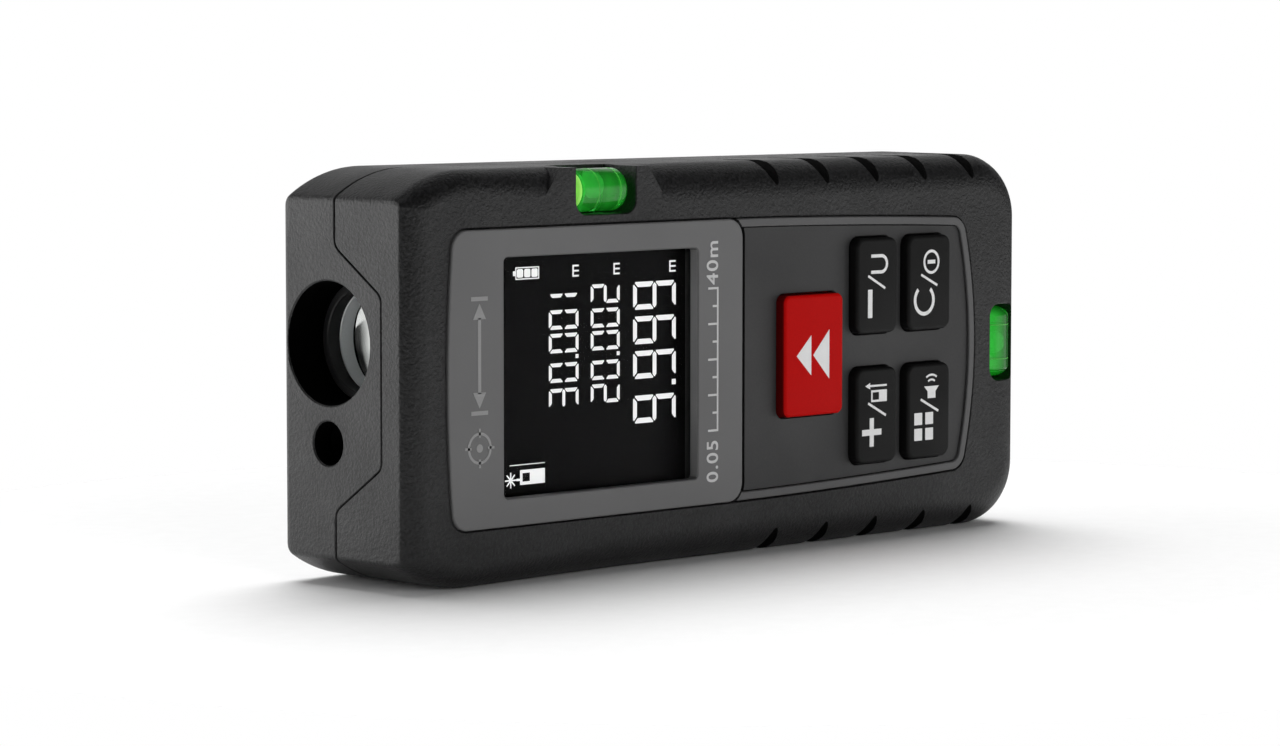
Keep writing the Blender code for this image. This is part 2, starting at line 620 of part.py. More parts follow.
def battery_bay():
    nub, nub_r, shy = 1.0, 2.7, 0.4
    cell = [(0, CELL_LONG), (nub_r, CELL_LONG), (nub_r, CELL_LONG - nub), (CELL_R - shy, CELL_LONG - nub),
            (CELL_R, CELL_LONG - nub - shy), (CELL_R, shy), (CELL_R - shy, 0), (0, 0)]
    flipped = [(r, CELL_LONG - h) for r, h in reversed(cell)]
    first, last = BAY[0] + 2 * GAP, BAY[1] - 2 * GAP        # inner faces of the contact plates
    turned("battery_1", flipped, (first + GAP, CELL_DEPTH, CELL_HEIGHT), "along", "cell_wrap", 20)
    turned("battery_2", cell, (last - GAP - CELL_LONG, CELL_DEPTH, -CELL_HEIGHT), "along", "cell_wrap", 20)
    near, far = CELL_DEPTH - 4.2, CELL_DEPTH + 4.2
    block("positive_contact", (first - GAP, near, 1.4), (first, far, 9.8), "steel")
    block("negative_contact", (first - GAP, near, -9.8), (first, far, -1.4), "steel")
    block("bridge_contact", (last, near, -9.8), (last + GAP, far, 9.8), "steel")
    cell_spring("cell_spring_1", last - 2 * GAP, -1, CELL_HEIGHT)
    cell_spring("cell_spring_2", first + 2 * GAP, 1, -CELL_HEIGHT)
    for name, high, colour in (("red_lead", 5.6, "lead_red"), ("black_lead", -10.5, "lead_black")):
        route = [(58.6, 14.5, high), (57.6, 14.0, high), (56.7, 12.6, high), (56.5, 10.8, high), (56.5, 7.2, high)]
        wire(name, route, 0.45, colour)


def housing_screws():
    profile = [(0, 13.0), (1.6, 13.0), (2.25, 12.4), (2.25, 11.3), (1.1, 11.3), (1.1, 0.8), (0.4, 0), (0, 0)]
    for i, (along, high) in enumerate(SCREWS):
        turned(f"housing_screw_{i + 1}", profile, (along, 7.1, high), "depth", "steel", 12)


front_housing()
rear_housing()
battery_cover()
display()
keypad()
button("measure_button", MEASURE, 0.9, "button_red")
for key_name, key_box in KEYS.items():
    button(key_name, key_box, 1.1, "button_black")
tactile_switches()
electronics()
optics()
spirit_levels()
battery_bay()
housing_screws()
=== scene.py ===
# %% [markdown]
# # A laser distance meter
# A pocket meter for building and survey work. Two black shells hold a laser, a receiver lens, a
# display, five keys, two spirit levels and two cells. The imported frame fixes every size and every
# joint, so this lesson only makes the surfaces, and hangs each one on the body that it moves with.

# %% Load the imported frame
import math
from collections import namedtuple

import bmesh
import bpy
from mathutils import Matrix, Vector


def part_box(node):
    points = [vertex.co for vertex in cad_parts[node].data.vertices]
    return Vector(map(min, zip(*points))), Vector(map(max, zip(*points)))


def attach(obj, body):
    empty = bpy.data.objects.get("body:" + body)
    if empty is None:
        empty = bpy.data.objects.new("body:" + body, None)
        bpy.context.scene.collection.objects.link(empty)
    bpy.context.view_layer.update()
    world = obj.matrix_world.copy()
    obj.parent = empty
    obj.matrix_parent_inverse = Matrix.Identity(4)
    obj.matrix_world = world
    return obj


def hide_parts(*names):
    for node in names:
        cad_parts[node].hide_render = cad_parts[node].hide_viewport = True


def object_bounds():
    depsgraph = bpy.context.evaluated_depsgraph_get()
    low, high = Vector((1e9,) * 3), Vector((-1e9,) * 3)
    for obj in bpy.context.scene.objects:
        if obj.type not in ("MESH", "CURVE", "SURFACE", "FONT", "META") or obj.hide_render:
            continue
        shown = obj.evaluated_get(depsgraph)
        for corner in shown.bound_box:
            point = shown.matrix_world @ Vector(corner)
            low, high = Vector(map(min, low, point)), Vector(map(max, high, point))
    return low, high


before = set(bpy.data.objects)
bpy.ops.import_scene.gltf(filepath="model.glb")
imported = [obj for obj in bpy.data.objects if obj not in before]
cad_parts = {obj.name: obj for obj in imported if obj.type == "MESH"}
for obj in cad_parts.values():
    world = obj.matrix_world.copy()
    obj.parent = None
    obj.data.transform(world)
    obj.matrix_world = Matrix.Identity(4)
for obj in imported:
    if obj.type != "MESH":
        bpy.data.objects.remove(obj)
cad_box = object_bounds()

scene = bpy.context.scene

# %% [markdown]
# ## The meter's own directions
# The meter stands on one long side, so its width is the world's height. Sizes are easier to think
# of in millimetres along the meter, behind its display face and above its centre line. One function
# turns them into world places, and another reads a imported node's box back into them.

# %% Directions and extents
MM = 0.001
front_low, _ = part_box("front_housing")
rear_low, rear_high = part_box("rear_housing")
CENTRE_HEIGHT = (rear_low.z + rear_high.z) / 2


def at(along, depth, high):
    """World place of a point given in the meter's own millimetres."""
    return Vector((front_low.x + along * MM, front_low.y + depth * MM, CENTRE_HEIGHT + high * MM))


Extent = namedtuple("Extent", "start end near far low top")


def extent(node):
    """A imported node's box: start and end along, near and far in depth, low and top in height."""
    low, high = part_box(node)
    zero = at(0, 0, 0)
    pairs = [((low[i] - zero[i]) / MM, (high[i] - zero[i]) / MM) for i in range(3)]
    return Extent(*[value for pair in pairs for value in pair])


LENGTH = extent("front_housing").end
WIDTH = 2 * extent("rear_housing").top
BACK = extent("rear_housing").far
GAP = 0.3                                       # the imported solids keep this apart
SEAM = extent("front_housing").far + GAP / 2
print(f"meter: {LENGTH:.1f} x {WIDTH:.1f} mm, {BACK:.1f} mm deep, seam at {SEAM:.1f} mm")

# %% [markdown]
# ## Camera
# The camera looks at the meter from the front left and slightly above, with a long lens, so that
# the laser end and the display are both seen at about 45 degrees and edges stay almost parallel.

# %% Camera
CAMERA_PLACE = (-319.24, -359.79, 40.02)        # along, depth and height, mm
CAMERA_TURN = (-44.81, 4.585, 0.02)             # azimuth, elevation and roll, degrees
CAMERA_LENS = 116.08

camera = bpy.data.objects.new("camera", bpy.data.cameras.new("camera"))
scene.collection.objects.link(camera)
azimuth, elevation, roll = (math.radians(angle) for angle in CAMERA_TURN)
away = Vector((math.sin(azimuth) * math.cos(elevation), -math.cos(azimuth) * math.cos(elevation),
               math.sin(elevation)))
camera.rotation_mode = "QUATERNION"
camera.rotation_quaternion = (-away).to_track_quat("-Z", "Y") @ Matrix.Rotation(roll, 3, "Z").to_quaternion()
camera.location = at(*CAMERA_PLACE)
camera.data.lens = CAMERA_LENS
camera.data.clip_start, camera.data.clip_end = 0.01, 50.0
scene.camera = camera
print(f"camera {camera.location.length:.3f} m away")

# %% [markdown]
# ## Studio
# Dark plastic shows hardly any colour of its own: what the eye sees is the room in its sheen. A
# bright band near the horizon has two glowing and two dark patches in it, so that each face of the
# meter gets its own grey. A broad key from above and behind keeps the pale floor white and throws
# the shadow forwards. A fill from the front lifts the prints, the levels and the red key. No sheen
# can see either lamp. Area lamps could do the same, but a patch of world is one node group.

# %% World, key light and floor
BACKDROP = 1.0                                  # what the camera sees behind the floor
BAND = (0.04, 0.34, 1.12, 0.03)                 # heights where the band fades, and its two strengths
GLOWS = ((Vector((-0.72, 0.69, 0.05)), 0.55, 0.95, 1.4),        # aim, cosines where a glow starts and
         (Vector((0.62, 0.70, 0.34)), 0.74, 0.97, 0.6))         # peaks, and its strength
SHADES = ((Vector((-0.72, -0.69, 0.08)), 0.50, 0.92, 0.03),     # the same for dark patches, and what
          (Vector((0.98, 0.18, 0.10)), 0.84, 0.98, 0.05))       # is left there
LAMPS = {"key": (3.4, 50.0, Vector((0.28, 0.34, 0.90))),        # strength, spread and aim
         "fill": (0.92, 40.0, Vector((-0.15, -0.93, 0.30)))}


def node(tree, kind, values=None, **settings):
    """Add a node, set its properties, and fill or link its inputs by name or number."""
    made = tree.nodes.new(kind)
    for key, value in settings.items():
        setattr(made, key, value)
    for key, value in (values or {}).items():
        if isinstance(value, bpy.types.NodeSocket):
            tree.links.new(value, made.inputs[key])
        else:
            made.inputs[key].default_value = value
    return made


def patch(tree, facing, aim, start, peak, outside, inside):
    """A round patch of the room: one value outside it, and another where the view meets its aim."""
    towards = node(tree, "ShaderNodeVectorMath", {0: facing, 1: aim.normalized()}, operation="DOT_PRODUCT")
    share = node(tree, "ShaderNodeMapRange", {"Value": towards.outputs["Value"], "From Min": start,
                 "From Max": peak, "To Min": outside, "To Max": inside}, interpolation_type="SMOOTHSTEP")
    return share.outputs["Result"]


def make_world():
    world = bpy.data.worlds.new("studio")
    world.use_nodes = True
    tree = world.node_tree
    tree.nodes.clear()
    facing = node(tree, "ShaderNodeTexCoord").outputs["Generated"]
    height = node(tree, "ShaderNodeSeparateXYZ", {"Vector": facing}).outputs["Z"]
    fade_from, fade_to, strong, weak = BAND
    band = node(tree, "ShaderNodeMapRange", {"Value": height, "From Min": fade_from, "From Max": fade_to,
                "To Min": strong, "To Max": weak}, interpolation_type="SMOOTHSTEP")
    light = band.outputs["Result"]
    for lobes, outside, operation in ((SHADES, 1.0, "MULTIPLY"), (GLOWS, 0.0, "ADD")):
        for aim, start, peak, inside in lobes:
            lobe = patch(tree, facing, aim, start, peak, outside, inside)
            light = node(tree, "ShaderNodeMath", {0: light, 1: lobe}, operation=operation).outputs[0]
    room = node(tree, "ShaderNodeBackground", {"Strength": light})
    seen = node(tree, "ShaderNodeBackground", {"Color": (1, 1, 1, 1), "Strength": BACKDROP})
    room.inputs["Color"].default_value = (1, 1, 1, 1)
    ray = node(tree, "ShaderNodeLightPath").outputs["Is Camera Ray"]
    both = node(tree, "ShaderNodeMixShader", {0: ray, 1: room.outputs[0], 2: seen.outputs[0]})
    node(tree, "ShaderNodeOutputWorld", {"Surface": both.outputs[0]})
    scene.world = world


def make_lamp(name, strength, spread, aim):
    lamp = bpy.data.objects.new(name, bpy.data.lights.new(name, "SUN"))
    lamp.data.energy = strength
    lamp.data.angle = math.radians(spread)
    lamp.rotation_mode = "QUATERNION"
    lamp.rotation_quaternion = aim.to_track_quat("Z", "Y")
    lamp.visible_glossy = False
    scene.collection.objects.link(lamp)


make_world()
for name, (strength, spread, aim) in LAMPS.items():
    make_lamp(name, strength, spread, aim)
scene.view_settings.view_transform = "Standard"

# %% [markdown]
# ## Finishes
# Every finish is a Principled shader whose noise sits in the piece's own space, so it never slides.
# Moulded plastic has a spark-eroded grain: one fine noise makes the bumps and the light speckle,
# and a broad one varies the gloss the way hands do. Metal, card and glass change only the numbers.

# %% A moulded or machined finish
def principled(name, colour, roughness, **sockets):
    """A new Principled material. Values that are even all over go straight on its sockets."""
    material = bpy.data.materials.new(name)
    material.use_nodes = True
    shader = material.node_tree.nodes["Principled BSDF"]
    shader.inputs["Base Color"].default_value = (*colour, 1.0)
    shader.inputs["Roughness"].default_value = roughness
    for key, value in sockets.items():
        shader.inputs[key.replace("_", " ")].default_value = value
    return material


def grained(name, colour, roughness, grain=0.25, speckle=0.2, relief=0.3, smear=0.05, **sockets):
    """Principled with grain: size of a bump in mm, share of light speckle, relief, and gloss change."""
    material = principled(name, colour, roughness, **sockets)
    tree = material.node_tree
    shader = tree.nodes["Principled BSDF"]
    place = node(tree, "ShaderNodeTexCoord").outputs["Object"]
    fine = node(tree, "ShaderNodeTexNoise", {"Vector": place, "Scale": 1 / (grain * MM), "Detail": 3.0,
                "Roughness": 0.6})
    broad = node(tree, "ShaderNodeTexNoise", {"Vector": place, "Scale": 90.0, "Detail": 2.0})
    dots = node(tree, "ShaderNodeMapRange", {"Value": fine.outputs["Fac"], "From Min": 0.35, "From Max": 0.7,
                "To Min": 1 - speckle, "To Max": 1 + speckle})
    tint = node(tree, "ShaderNodeVectorMath", {0: colour, "Scale": dots.outputs["Result"]}, operation="SCALE")
    tree.links.new(tint.outputs["Vector"], shader.inputs["Base Color"])
    gloss = node(tree, "ShaderNodeMapRange", {"Value": broad.outputs["Fac"], "From Min": 0.3, "From Max": 0.7,
                 "To Min": roughness - smear, "To Max": roughness + smear})
    tree.links.new(gloss.outputs["Result"], shader.inputs["Roughness"])
    bump = node(tree, "ShaderNodeBump", {"Strength": 1.0, "Distance": grain * MM * 0.2 * relief,
                "Height": fine.outputs["Fac"]})
    tree.links.new(bump.outputs["Normal"], shader.inputs["Normal"])
    return material


# Painted shade: the grip grooves are the housing's own plastic, given a darker black for the shade inside
# them.
GROOVE_PAINTED_SHADE = grained("groove_black", (0.002, 0.002, 0.002), 0.75, 0.3, 0.1, 0.6, Specular_IOR_Level=0.15)
HOUSING = grained("moulded_black", (0.0075, 0.0075, 0.0079), 0.46, 0.38, 0.95, 2.2)
BORE = grained("blackened_bore", (0.001, 0.001, 0.001), 0.8, 0.3, 0.1, 0.2, Specular_IOR_Level=0.02)
BEZEL = grained("bezel_grey", (0.126, 0.126, 0.127), 0.48, 0.12, 0.05, 0.12)
RIM = grained("rim_grey", (0.075, 0.075, 0.076), 0.42, 0.15, 0.06, 0.15)
PANEL = grained("panel_grey", (0.02, 0.02, 0.0205), 0.5, 0.18, 0.15, 0.25)
KEY_BLACK = grained("key_rubber_black", (0.006, 0.006, 0.006), 0.6, 0.2, 0.15, 0.2, Specular_IOR_Level=0.2)
KEY_RED = grained("key_rubber_red", (0.5, 0.0035, 0.003), 0.5, 0.2, 0.05, 0.15, Specular_IOR_Level=0.05)
print(len(bpy.data.materials), "finishes so far")

# %% [markdown]
# ## Floor
# The floor is a disc of pale card. It is staging and not part of the meter, and it lies just under
# the lowest point of the imported box. It ends where low reflections leave it, so that the dark
# patch of the room still reaches them.

# %% Floor
CARD = grained("floor_card", (0.82, 0.82, 0.82), 0.9, 3.0, 0.01, 0.05, Specular_IOR_Level=0.1)


def make_floor(radius=0.13):
    bm = bmesh.new()
    bmesh.ops.create_circle(bm, cap_ends=True, segments=64, radius=radius)
    bmesh.ops.translate(bm, vec=(*at(LENGTH / 2, 0, 0).xy, cad_box[0].z - 0.00002), verts=bm.verts)
    mesh = bpy.data.meshes.new("floor")
    bm.to_mesh(mesh)
    bm.free()
    mesh.materials.append(CARD)
    floor = bpy.data.objects.new("floor", mesh)
    scene.collection.objects.link(floor)


make_floor()

# %% [markdown]
# ## Making closed skins
# Almost every part of the meter is one of three things: a loft through outlines that step into the
# depth, a profile turned round an axis, or one of these with others cut from it. A few helpers make
# them all. Each ends with merged doubles, outward faces and a sharp edge wherever faces turn away.

# %% Lofts, plates and turned pieces
DOUBLES = 1e-7


def solid(name, bm, finish=None, sharp_above=32):
    """Turn a bmesh into a closed piece with outward faces."""
    bmesh.ops.remove_doubles(bm, verts=bm.verts, dist=DOUBLES)
    bmesh.ops.recalc_face_normals(bm, faces=bm.faces)
    mesh = bpy.data.meshes.new(name)
    bm.to_mesh(mesh)
    bm.free()
    if finish is not None:
        mesh.materials.append(finish)
    mesh.shade_smooth()
    mesh.set_sharp_from_angle(angle=math.radians(sharp_above))
    piece = bpy.data.objects.new(name, mesh)
    scene.collection.objects.link(piece)
    return piece


def skin(bm, loops, caps=True):
    """Join loops of vertices of one length into a skin, closed at both ends unless caps is False."""
    count = len(loops[0])
    for near, far in zip(loops, loops[1:]):
        for i in range(count):
            j = (i + 1) % count
            bm.faces.new((near[i], near[j], far[j], far[i]))
    if caps:
        bm.faces.new(loops[0])
        bm.faces.new(loops[-1])


def loft(name, rings, finish=None, sharp_above=32):
    """A closed skin through rings of places in the meter's own millimetres."""
    bm = bmesh.new()
    skin(bm, [[bm.verts.new(at(*place)) for place in ring] for ring in rings])
    return solid(name, bm, finish, sharp_above)


def plate(name, outline, levels, finish=None, sharp_above=32):
    """A loft whose outline(margin) is drawn at each (depth, margin)."""
    rings = [[(along, depth, high) for along, high in outline(margin)] for depth, margin in levels]
    return loft(name, rings, finish, sharp_above)


TURNED_AXES = {"along": ((1, 0, 0), (0, 1, 0), (0, 0, 1)),      # axis, and the two directions across it
               "depth": ((0, 1, 0), (0, 0, 1), (1, 0, 0)),
               "high": ((0, 0, 1), (1, 0, 0), (0, 1, 0))}


def turned(name, profile, start, axis, finish=None, steps=64, sharp_above=32):
    """A closed profile of (radius, distance), from axis to axis or round a hole, turned round an axis."""
    forward, across, beside = (Vector(direction) for direction in TURNED_AXES[axis])
    bm = bmesh.new()
    loops = []
    for i in range(steps):
        angle = 2 * math.pi * i / steps
        out = across * math.cos(angle) + beside * math.sin(angle)
        loops.append([bm.verts.new(at(*(Vector(start) + forward * distance + out * radius)))
                      for radius, distance in profile])
    for near, far in zip(loops, loops[1:] + loops[:1]):
        for i in range(len(profile)):
            j = (i + 1) % len(profile)
            if profile[i][0] > 0 or profile[j][0] > 0:
                bm.faces.new((near[i], near[j], far[j], far[i]))
    bmesh.ops.remove_doubles(bm, verts=bm.verts, dist=DOUBLES)
    bmesh.ops.dissolve_degenerate(bm, edges=bm.edges, dist=DOUBLES)
    return solid(name, bm, finish, sharp_above)


# %% Cutting, joining and baking
def baked(piece):
    """Write what the modifiers make into the mesh, and take them off."""
    bpy.context.view_layer.update()
    result = bpy.data.meshes.new_from_object(piece.evaluated_get(bpy.context.evaluated_depsgraph_get()))
    result.name = piece.name
    piece.modifiers.clear()
    piece.data = result
    return piece


def combine(piece, tools, operation="DIFFERENCE"):
    """One exact Boolean with all the tools, which are then thrown away."""
    group = bpy.data.collections.new(piece.name + "_tools")
    for tool in tools:
        group.objects.link(tool)
    step = piece.modifiers.new(operation, "BOOLEAN")
    step.operation = operation
    step.operand_type = "COLLECTION"
    step.collection = group
    step.solver = "EXACT"
    baked(piece)
    for tool in list(tools):
        bpy.data.objects.remove(tool, do_unlink=True)
    bpy.data.collections.remove(group)
    return piece


def eased(piece, sharp_above=32):
    """Shade a cut piece: flat faces keep their flatness, and only real edges stay sharp."""
    piece.data.shade_smooth()
    piece.data.set_sharp_from_angle(angle=math.radians(sharp_above))
    weigh = piece.modifiers.new("weigh", "WEIGHTED_NORMAL")
    weigh.keep_sharp = True
    return baked(piece)


def dress(piece, finish, wanted):
    """Give another finish to the faces that wanted(along, depth, high, normal) picks."""
    piece.data.materials.append(finish)
    zero = at(0, 0, 0)
    for face in piece.data.polygons:
        if wanted(*((face.center - zero) / MM), face.normal):
            face.material_index = len(piece.data.materials) - 1
    return piece


# %% Outlines
def rounded_box(box, radius, margin=0.0, steps=8):
    """Outline of a rectangle (x0, x1, y0, y1) with round corners, moved outwards by a margin."""
    x0, x1, y0, y1 = box
    points = []
    for cx, cy, turn in ((x1 - radius, y0 + radius, -90), (x1 - radius, y1 - radius, 0),
                         (x0 + radius, y1 - radius, 90), (x0 + radius, y0 + radius, 180)):
        for step in range(steps + 1):
            angle = math.radians(turn + 90 * step / steps)
            reach = radius + margin
            points.append((cx + reach * math.cos(angle), cy + reach * math.sin(angle)))
    return points


def arc(centre, radius, first, last, steps):
    """Points on an arc between two angles in degrees."""
    angles = [math.radians(first + (last - first) * i / steps) for i in range(steps + 1)]
    return [(centre[0] + radius * math.cos(angle), centre[1] + radius * math.sin(angle)) for angle in angles]


def mirrored(half):
    """Close an outline by its reflection in the meter's centre line."""
    return half + [(x, -y) for x, y in reversed(half) if abs(y) > 1e-9]


# %% [markdown]
# ## The shell's skin
# Both shells share one plan outline: a flat laser end, sides that widen in an arc, and round
# corners at the bottom end that get tighter towards the back. Rings of that outline follow the
# shoulder down to the seam. The shoulder's radius grows towards the bottom end, which a stack of
# rings shows for free, while a bevel would need an even width.

# %% Plan outline at one depth
NOSE_HALF, NOSE_ARC = 21.55, 11.0       # half width of the laser end, and where the sides are full
NOSE_ROUND, NOSE_SETBACK = 4.67, 3.5    # rounding from the display face into the laser end
NOSE_EASE = 0.5                         # rounding between the laser end and the sides
SHOULDER = (3.0, 4.8)                   # shoulder radius at the laser end and from the display on
END_CORNER = (8.5, 5.5)                 # corner radius at the display face and at the back
NOSE_REACH = (NOSE_ARC ** 2 + (WIDTH / 2 - NOSE_HALF) ** 2) / (2 * (WIDTH / 2 - NOSE_HALF))


def quarter_fall(depth, radius):
    """How far a quarter-round of a radius stands in from the side at a depth."""
    rest = radius - min(depth, radius)
    return radius - math.sqrt(radius ** 2 - rest ** 2)


def shoulder_radius(along):
    share = min(1.0, max(0.0, (along - 6.0) / 36.0))
    share = share * share * (3 - 2 * share)
    return SHOULDER[0] + (SHOULDER[1] - SHOULDER[0]) * share


def nose_inset(depth):
    """Setback of the laser end at a depth, with a small fillet where it turns flat."""
    rest = NOSE_ROUND - min(depth, NOSE_ROUND)
    back = NOSE_SETBACK - math.sqrt(NOSE_ROUND ** 2 - rest ** 2)
    return (back + math.sqrt(back ** 2 + 0.04 ** 2)) / 2


def end_radius(depth):
    share = min(1.0, max(0.0, (depth - SHOULDER[0]) / (BACK - SHOULDER[0])))
    return END_CORNER[0] + (END_CORNER[1] - END_CORNER[0]) * share


def body_ring(depth, side_inset, nose):
    """Plan outline at a depth; side_inset(along) moves it inwards, nose sets the laser end back."""
    inset = side_inset(0.0)
    reach = NOSE_REACH - inset
    top = WIDTH / 2 - NOSE_REACH
    corner = top + math.sqrt(reach ** 2 - (NOSE_ARC - nose) ** 2)
    start = math.degrees(math.asin((NOSE_ARC - nose - NOSE_EASE) / reach))
    first = arc((NOSE_ARC, top), reach, 90 + start, 90, 12)
    half = [(nose, (corner - NOSE_EASE) * i / 8) for i in range(9)]
    for i in range(1, 4):
        share = i / 4
        before, after = (nose, corner - NOSE_EASE), first[0]
        half.append(tuple((1 - share) ** 2 * before[k] + 2 * share * (1 - share) * (nose, corner)[k]
                          + share ** 2 * after[k] for k in range(2)))
    half += first
    radius = end_radius(depth)
    for i in range(1, 40):
        along = NOSE_ARC + (LENGTH - radius - NOSE_ARC) * i / 40
        half.append((along, WIDTH / 2 - side_inset(along)))
    inset = side_inset(LENGTH)
    half += arc((LENGTH - radius, WIDTH / 2 - radius), radius - inset, 90, 0, 16)
    half += [(LENGTH - inset, (WIDTH / 2 - radius) * (1 - i / 6)) for i in range(1, 6)]
    half.append((LENGTH - inset, 0.0))
    ring = half + [(along, -high) for along, high in reversed(half[1:-1])]
    return [(along, depth, high) for along, high in ring]


def shell_rings(levels):
    """Rings for (depth, extra inset); the display side's roundings are worked out from the depth."""
    rings = []
    for depth, extra in levels:
        rings.append(body_ring(depth, lambda along: quarter_fall(depth, shoulder_radius(along)) + extra,
                               nose_inset(depth) + extra))
    return rings


def inner_rings(depths, wall):
    return [body_ring(depth, lambda along: wall, wall) for depth in depths]


print(f"laser end's sides follow a radius of {NOSE_REACH:.1f} mm")

# %% [markdown]
# ## The seam round the optics
# At the laser end the rear shell reaches up between the front shell's cheeks, and carries both
# bores. Its outline is a trapezium with a fillet at the foot and a round at the top. The same
# function draws the notch in the front shell and the tongue on the rear one, a hair apart.

# %% Tongue outline
TONGUE_FOOT, TONGUE_HALF = 15.81, 10.18         # half widths at the seam and at the top
TONGUE_TOP = extent("rear_housing").near - GAP / 2
TONGUE_THICK = 2.4
FOOT_FILLET, TOP_ROUND = 1.8, 1.6


def tongue(margin, foot):
    """Outline (depth, high) of the tongue, moved outwards by a margin and starting at depth foot."""
    slope = Vector((TONGUE_TOP - SEAM, TONGUE_HALF - TONGUE_FOOT)).normalized()
    turn = math.degrees(math.atan2(-slope.x, -slope.y))         # how far the sides lean from straight
    shift = math.tan(math.radians(turn / 2))
    low = (SEAM - FOOT_FILLET, TONGUE_FOOT + FOOT_FILLET * shift)
    high = (TONGUE_TOP + TOP_ROUND, TONGUE_HALF - TOP_ROUND * shift)
    half = [(foot, low[1])]
    half += arc(low, FOOT_FILLET - margin, 0, -turn, 8)
    half += arc(high, TOP_ROUND + margin, 180 - turn, 180, 8)
    return half + [(depth, -across) for depth, across in reversed(half)]


def tongue_solid(name, levels, foot):
    """Loft of the tongue's outline at (along, margin) steps."""
    return loft(name, [[(along, depth, high) for depth, high in tongue(margin, foot)]
                       for along, margin in levels])


print(f"tongue reaches up to {TONGUE_TOP:.2f} mm behind the display face")

# %% [markdown]
# ## Grip grooves
# Five grooves on each long side run over the shoulder. They repeat at an even pitch, so one cutter
# is swept along a smooth path, and Geometry Nodes set it out on both sides. Half a turn about the
# depth axis mirrors it without turning it inside out.

# %% One groove cutter
GROOVES = {"first": 63.1, "pitch": 9.5, "count": 5}
GROOVE_PATH = ((0.0, 22.0), (1.2, 23.3), (2.5, 24.3), (4.8, 25.0), (8.0, 25.35), (12.4, 26.1))
GROOVE_WIDTH = (0.25, 0.9, 1.15, 1.15, 1.0, 0.8)        # radius at each point of the path


def spline(points, share):
    """A smooth curve through points, at a share of its length from 0 to 1 (Catmull-Rom)."""
    spans = len(points) - 1
    span = min(int(share * spans), spans - 1)
    t = share * spans - span
    p = [points[min(max(span + k, 0), spans)] for k in (-1, 0, 1, 2)]
    return [0.5 * (2 * b + (c - a) * t + (2 * a - 5 * b + 4 * c - d) * t * t
                   + (3 * b - a - 3 * c + d) * t ** 3) for a, b, c, d in zip(*p)]


def groove_cutter(steps=28, sides=16):
    points = [(*place, radius) for place, radius in zip(GROOVE_PATH, GROOVE_WIDTH)]
    track = [spline(points, i / steps) for i in range(steps + 1)]
    bm = bmesh.new()
    loops = []
    for i, (depth, high, radius) in enumerate(track):
        before, after = track[max(i - 1, 0)], track[min(i + 1, steps)]
        ahead = Vector((0, after[0] - before[0], after[1] - before[1])).normalized()
        aside = Vector((1, 0, 0))
        out = ahead.cross(aside)
        middle = Vector((0, depth, high))
        loops.append([bm.verts.new((middle + (aside * math.cos(a) + out * math.sin(a)) * radius) * MM)
                      for a in [2 * math.pi * k / sides for k in range(sides)]])
    skin(bm, loops)
    return solid("groove_cutter", bm)


# %% Set the grooves out with Geometry Nodes
def new_tree(name, inputs):
    """A modifier tree with named inputs (name: socket type); returns it with its two end nodes."""
    tree = bpy.data.node_groups.new(name, "GeometryNodeTree")
    tree.is_modifier = True
    tree.interface.new_socket(name="Geometry", in_out="INPUT", socket_type="NodeSocketGeometry")
    for label, kind in inputs.items():
        tree.interface.new_socket(name=label, in_out="INPUT", socket_type="NodeSocket" + kind)
    tree.interface.new_socket(name="Geometry", in_out="OUTPUT", socket_type="NodeSocketGeometry")
    return tree, tree.nodes.new("NodeGroupInput").outputs, tree.nodes.new("NodeGroupOutput")


def end_tree(tree, geometry, material, group_output):
    """Every tree ends the same way: real geometry, then its material."""
    real = node(tree, "GeometryNodeRealizeInstances", {"Geometry": geometry})
    dressed = node(tree, "GeometryNodeSetMaterial", {"Geometry": real.outputs[0], "Material": material})
    tree.links.new(dressed.outputs[0], group_output.inputs[0])


def run_tree(name, tree, values, start=None):
    """Make a piece from a tree: inputs go in by identifier, the result is baked and tidied."""
    mesh = start or bpy.data.meshes.new(name)
    piece = bpy.data.objects.new(name, mesh)
    scene.collection.objects.link(piece)
    step = piece.modifiers.new(tree.name, "NODES")
    step.node_group = tree
    for item in tree.interface.items_tree:
        if item.in_out == "INPUT" and item.name in values:
            step[item.identifier] = values[item.name]
    baked(piece)
    bm = bmesh.new()
    bm.from_mesh(piece.data)
    bmesh.ops.remove_doubles(bm, verts=bm.verts, dist=DOUBLES)
    bmesh.ops.recalc_face_normals(bm, faces=bm.faces)
    bm.to_mesh(piece.data)
    bm.free()
    piece.data.shade_smooth()
    piece.data.set_sharp_from_angle(angle=math.radians(32))
    return piece


def row_points(tree, given, axis):
    """Points at an even pitch along an axis, from a tree's own Count, Pitch and Start."""
    step = node(tree, "ShaderNodeCombineXYZ", {axis: given["Pitch"]})
    row = node(tree, "GeometryNodeMeshLine", {"Count": given["Count"], "Start Location": given["Start"],
               "Offset": step.outputs[0]})
    return row.outputs[0]


def row_tree():
    """A row of one object along X, repeated with half a turn about Y on the other side."""
    tree, given, end = new_tree("row_on_both_sides", {"Piece": "Object", "Count": "Int", "Pitch": "Float",
                                "Start": "Vector", "Material": "Material"})
    points = row_points(tree, given, "X")
    piece = node(tree, "GeometryNodeObjectInfo", {"Object": given["Piece"]})
    both = tree.nodes.new("GeometryNodeJoinGeometry")
    for turn in (0.0, math.pi):
        copies = node(tree, "GeometryNodeInstanceOnPoints", {"Points": points,
                      "Instance": piece.outputs["Geometry"], "Rotation": (0.0, turn, 0.0)})
        tree.links.new(copies.outputs[0], both.inputs[0])
    end_tree(tree, both.outputs[0], given["Material"], end)
    return tree


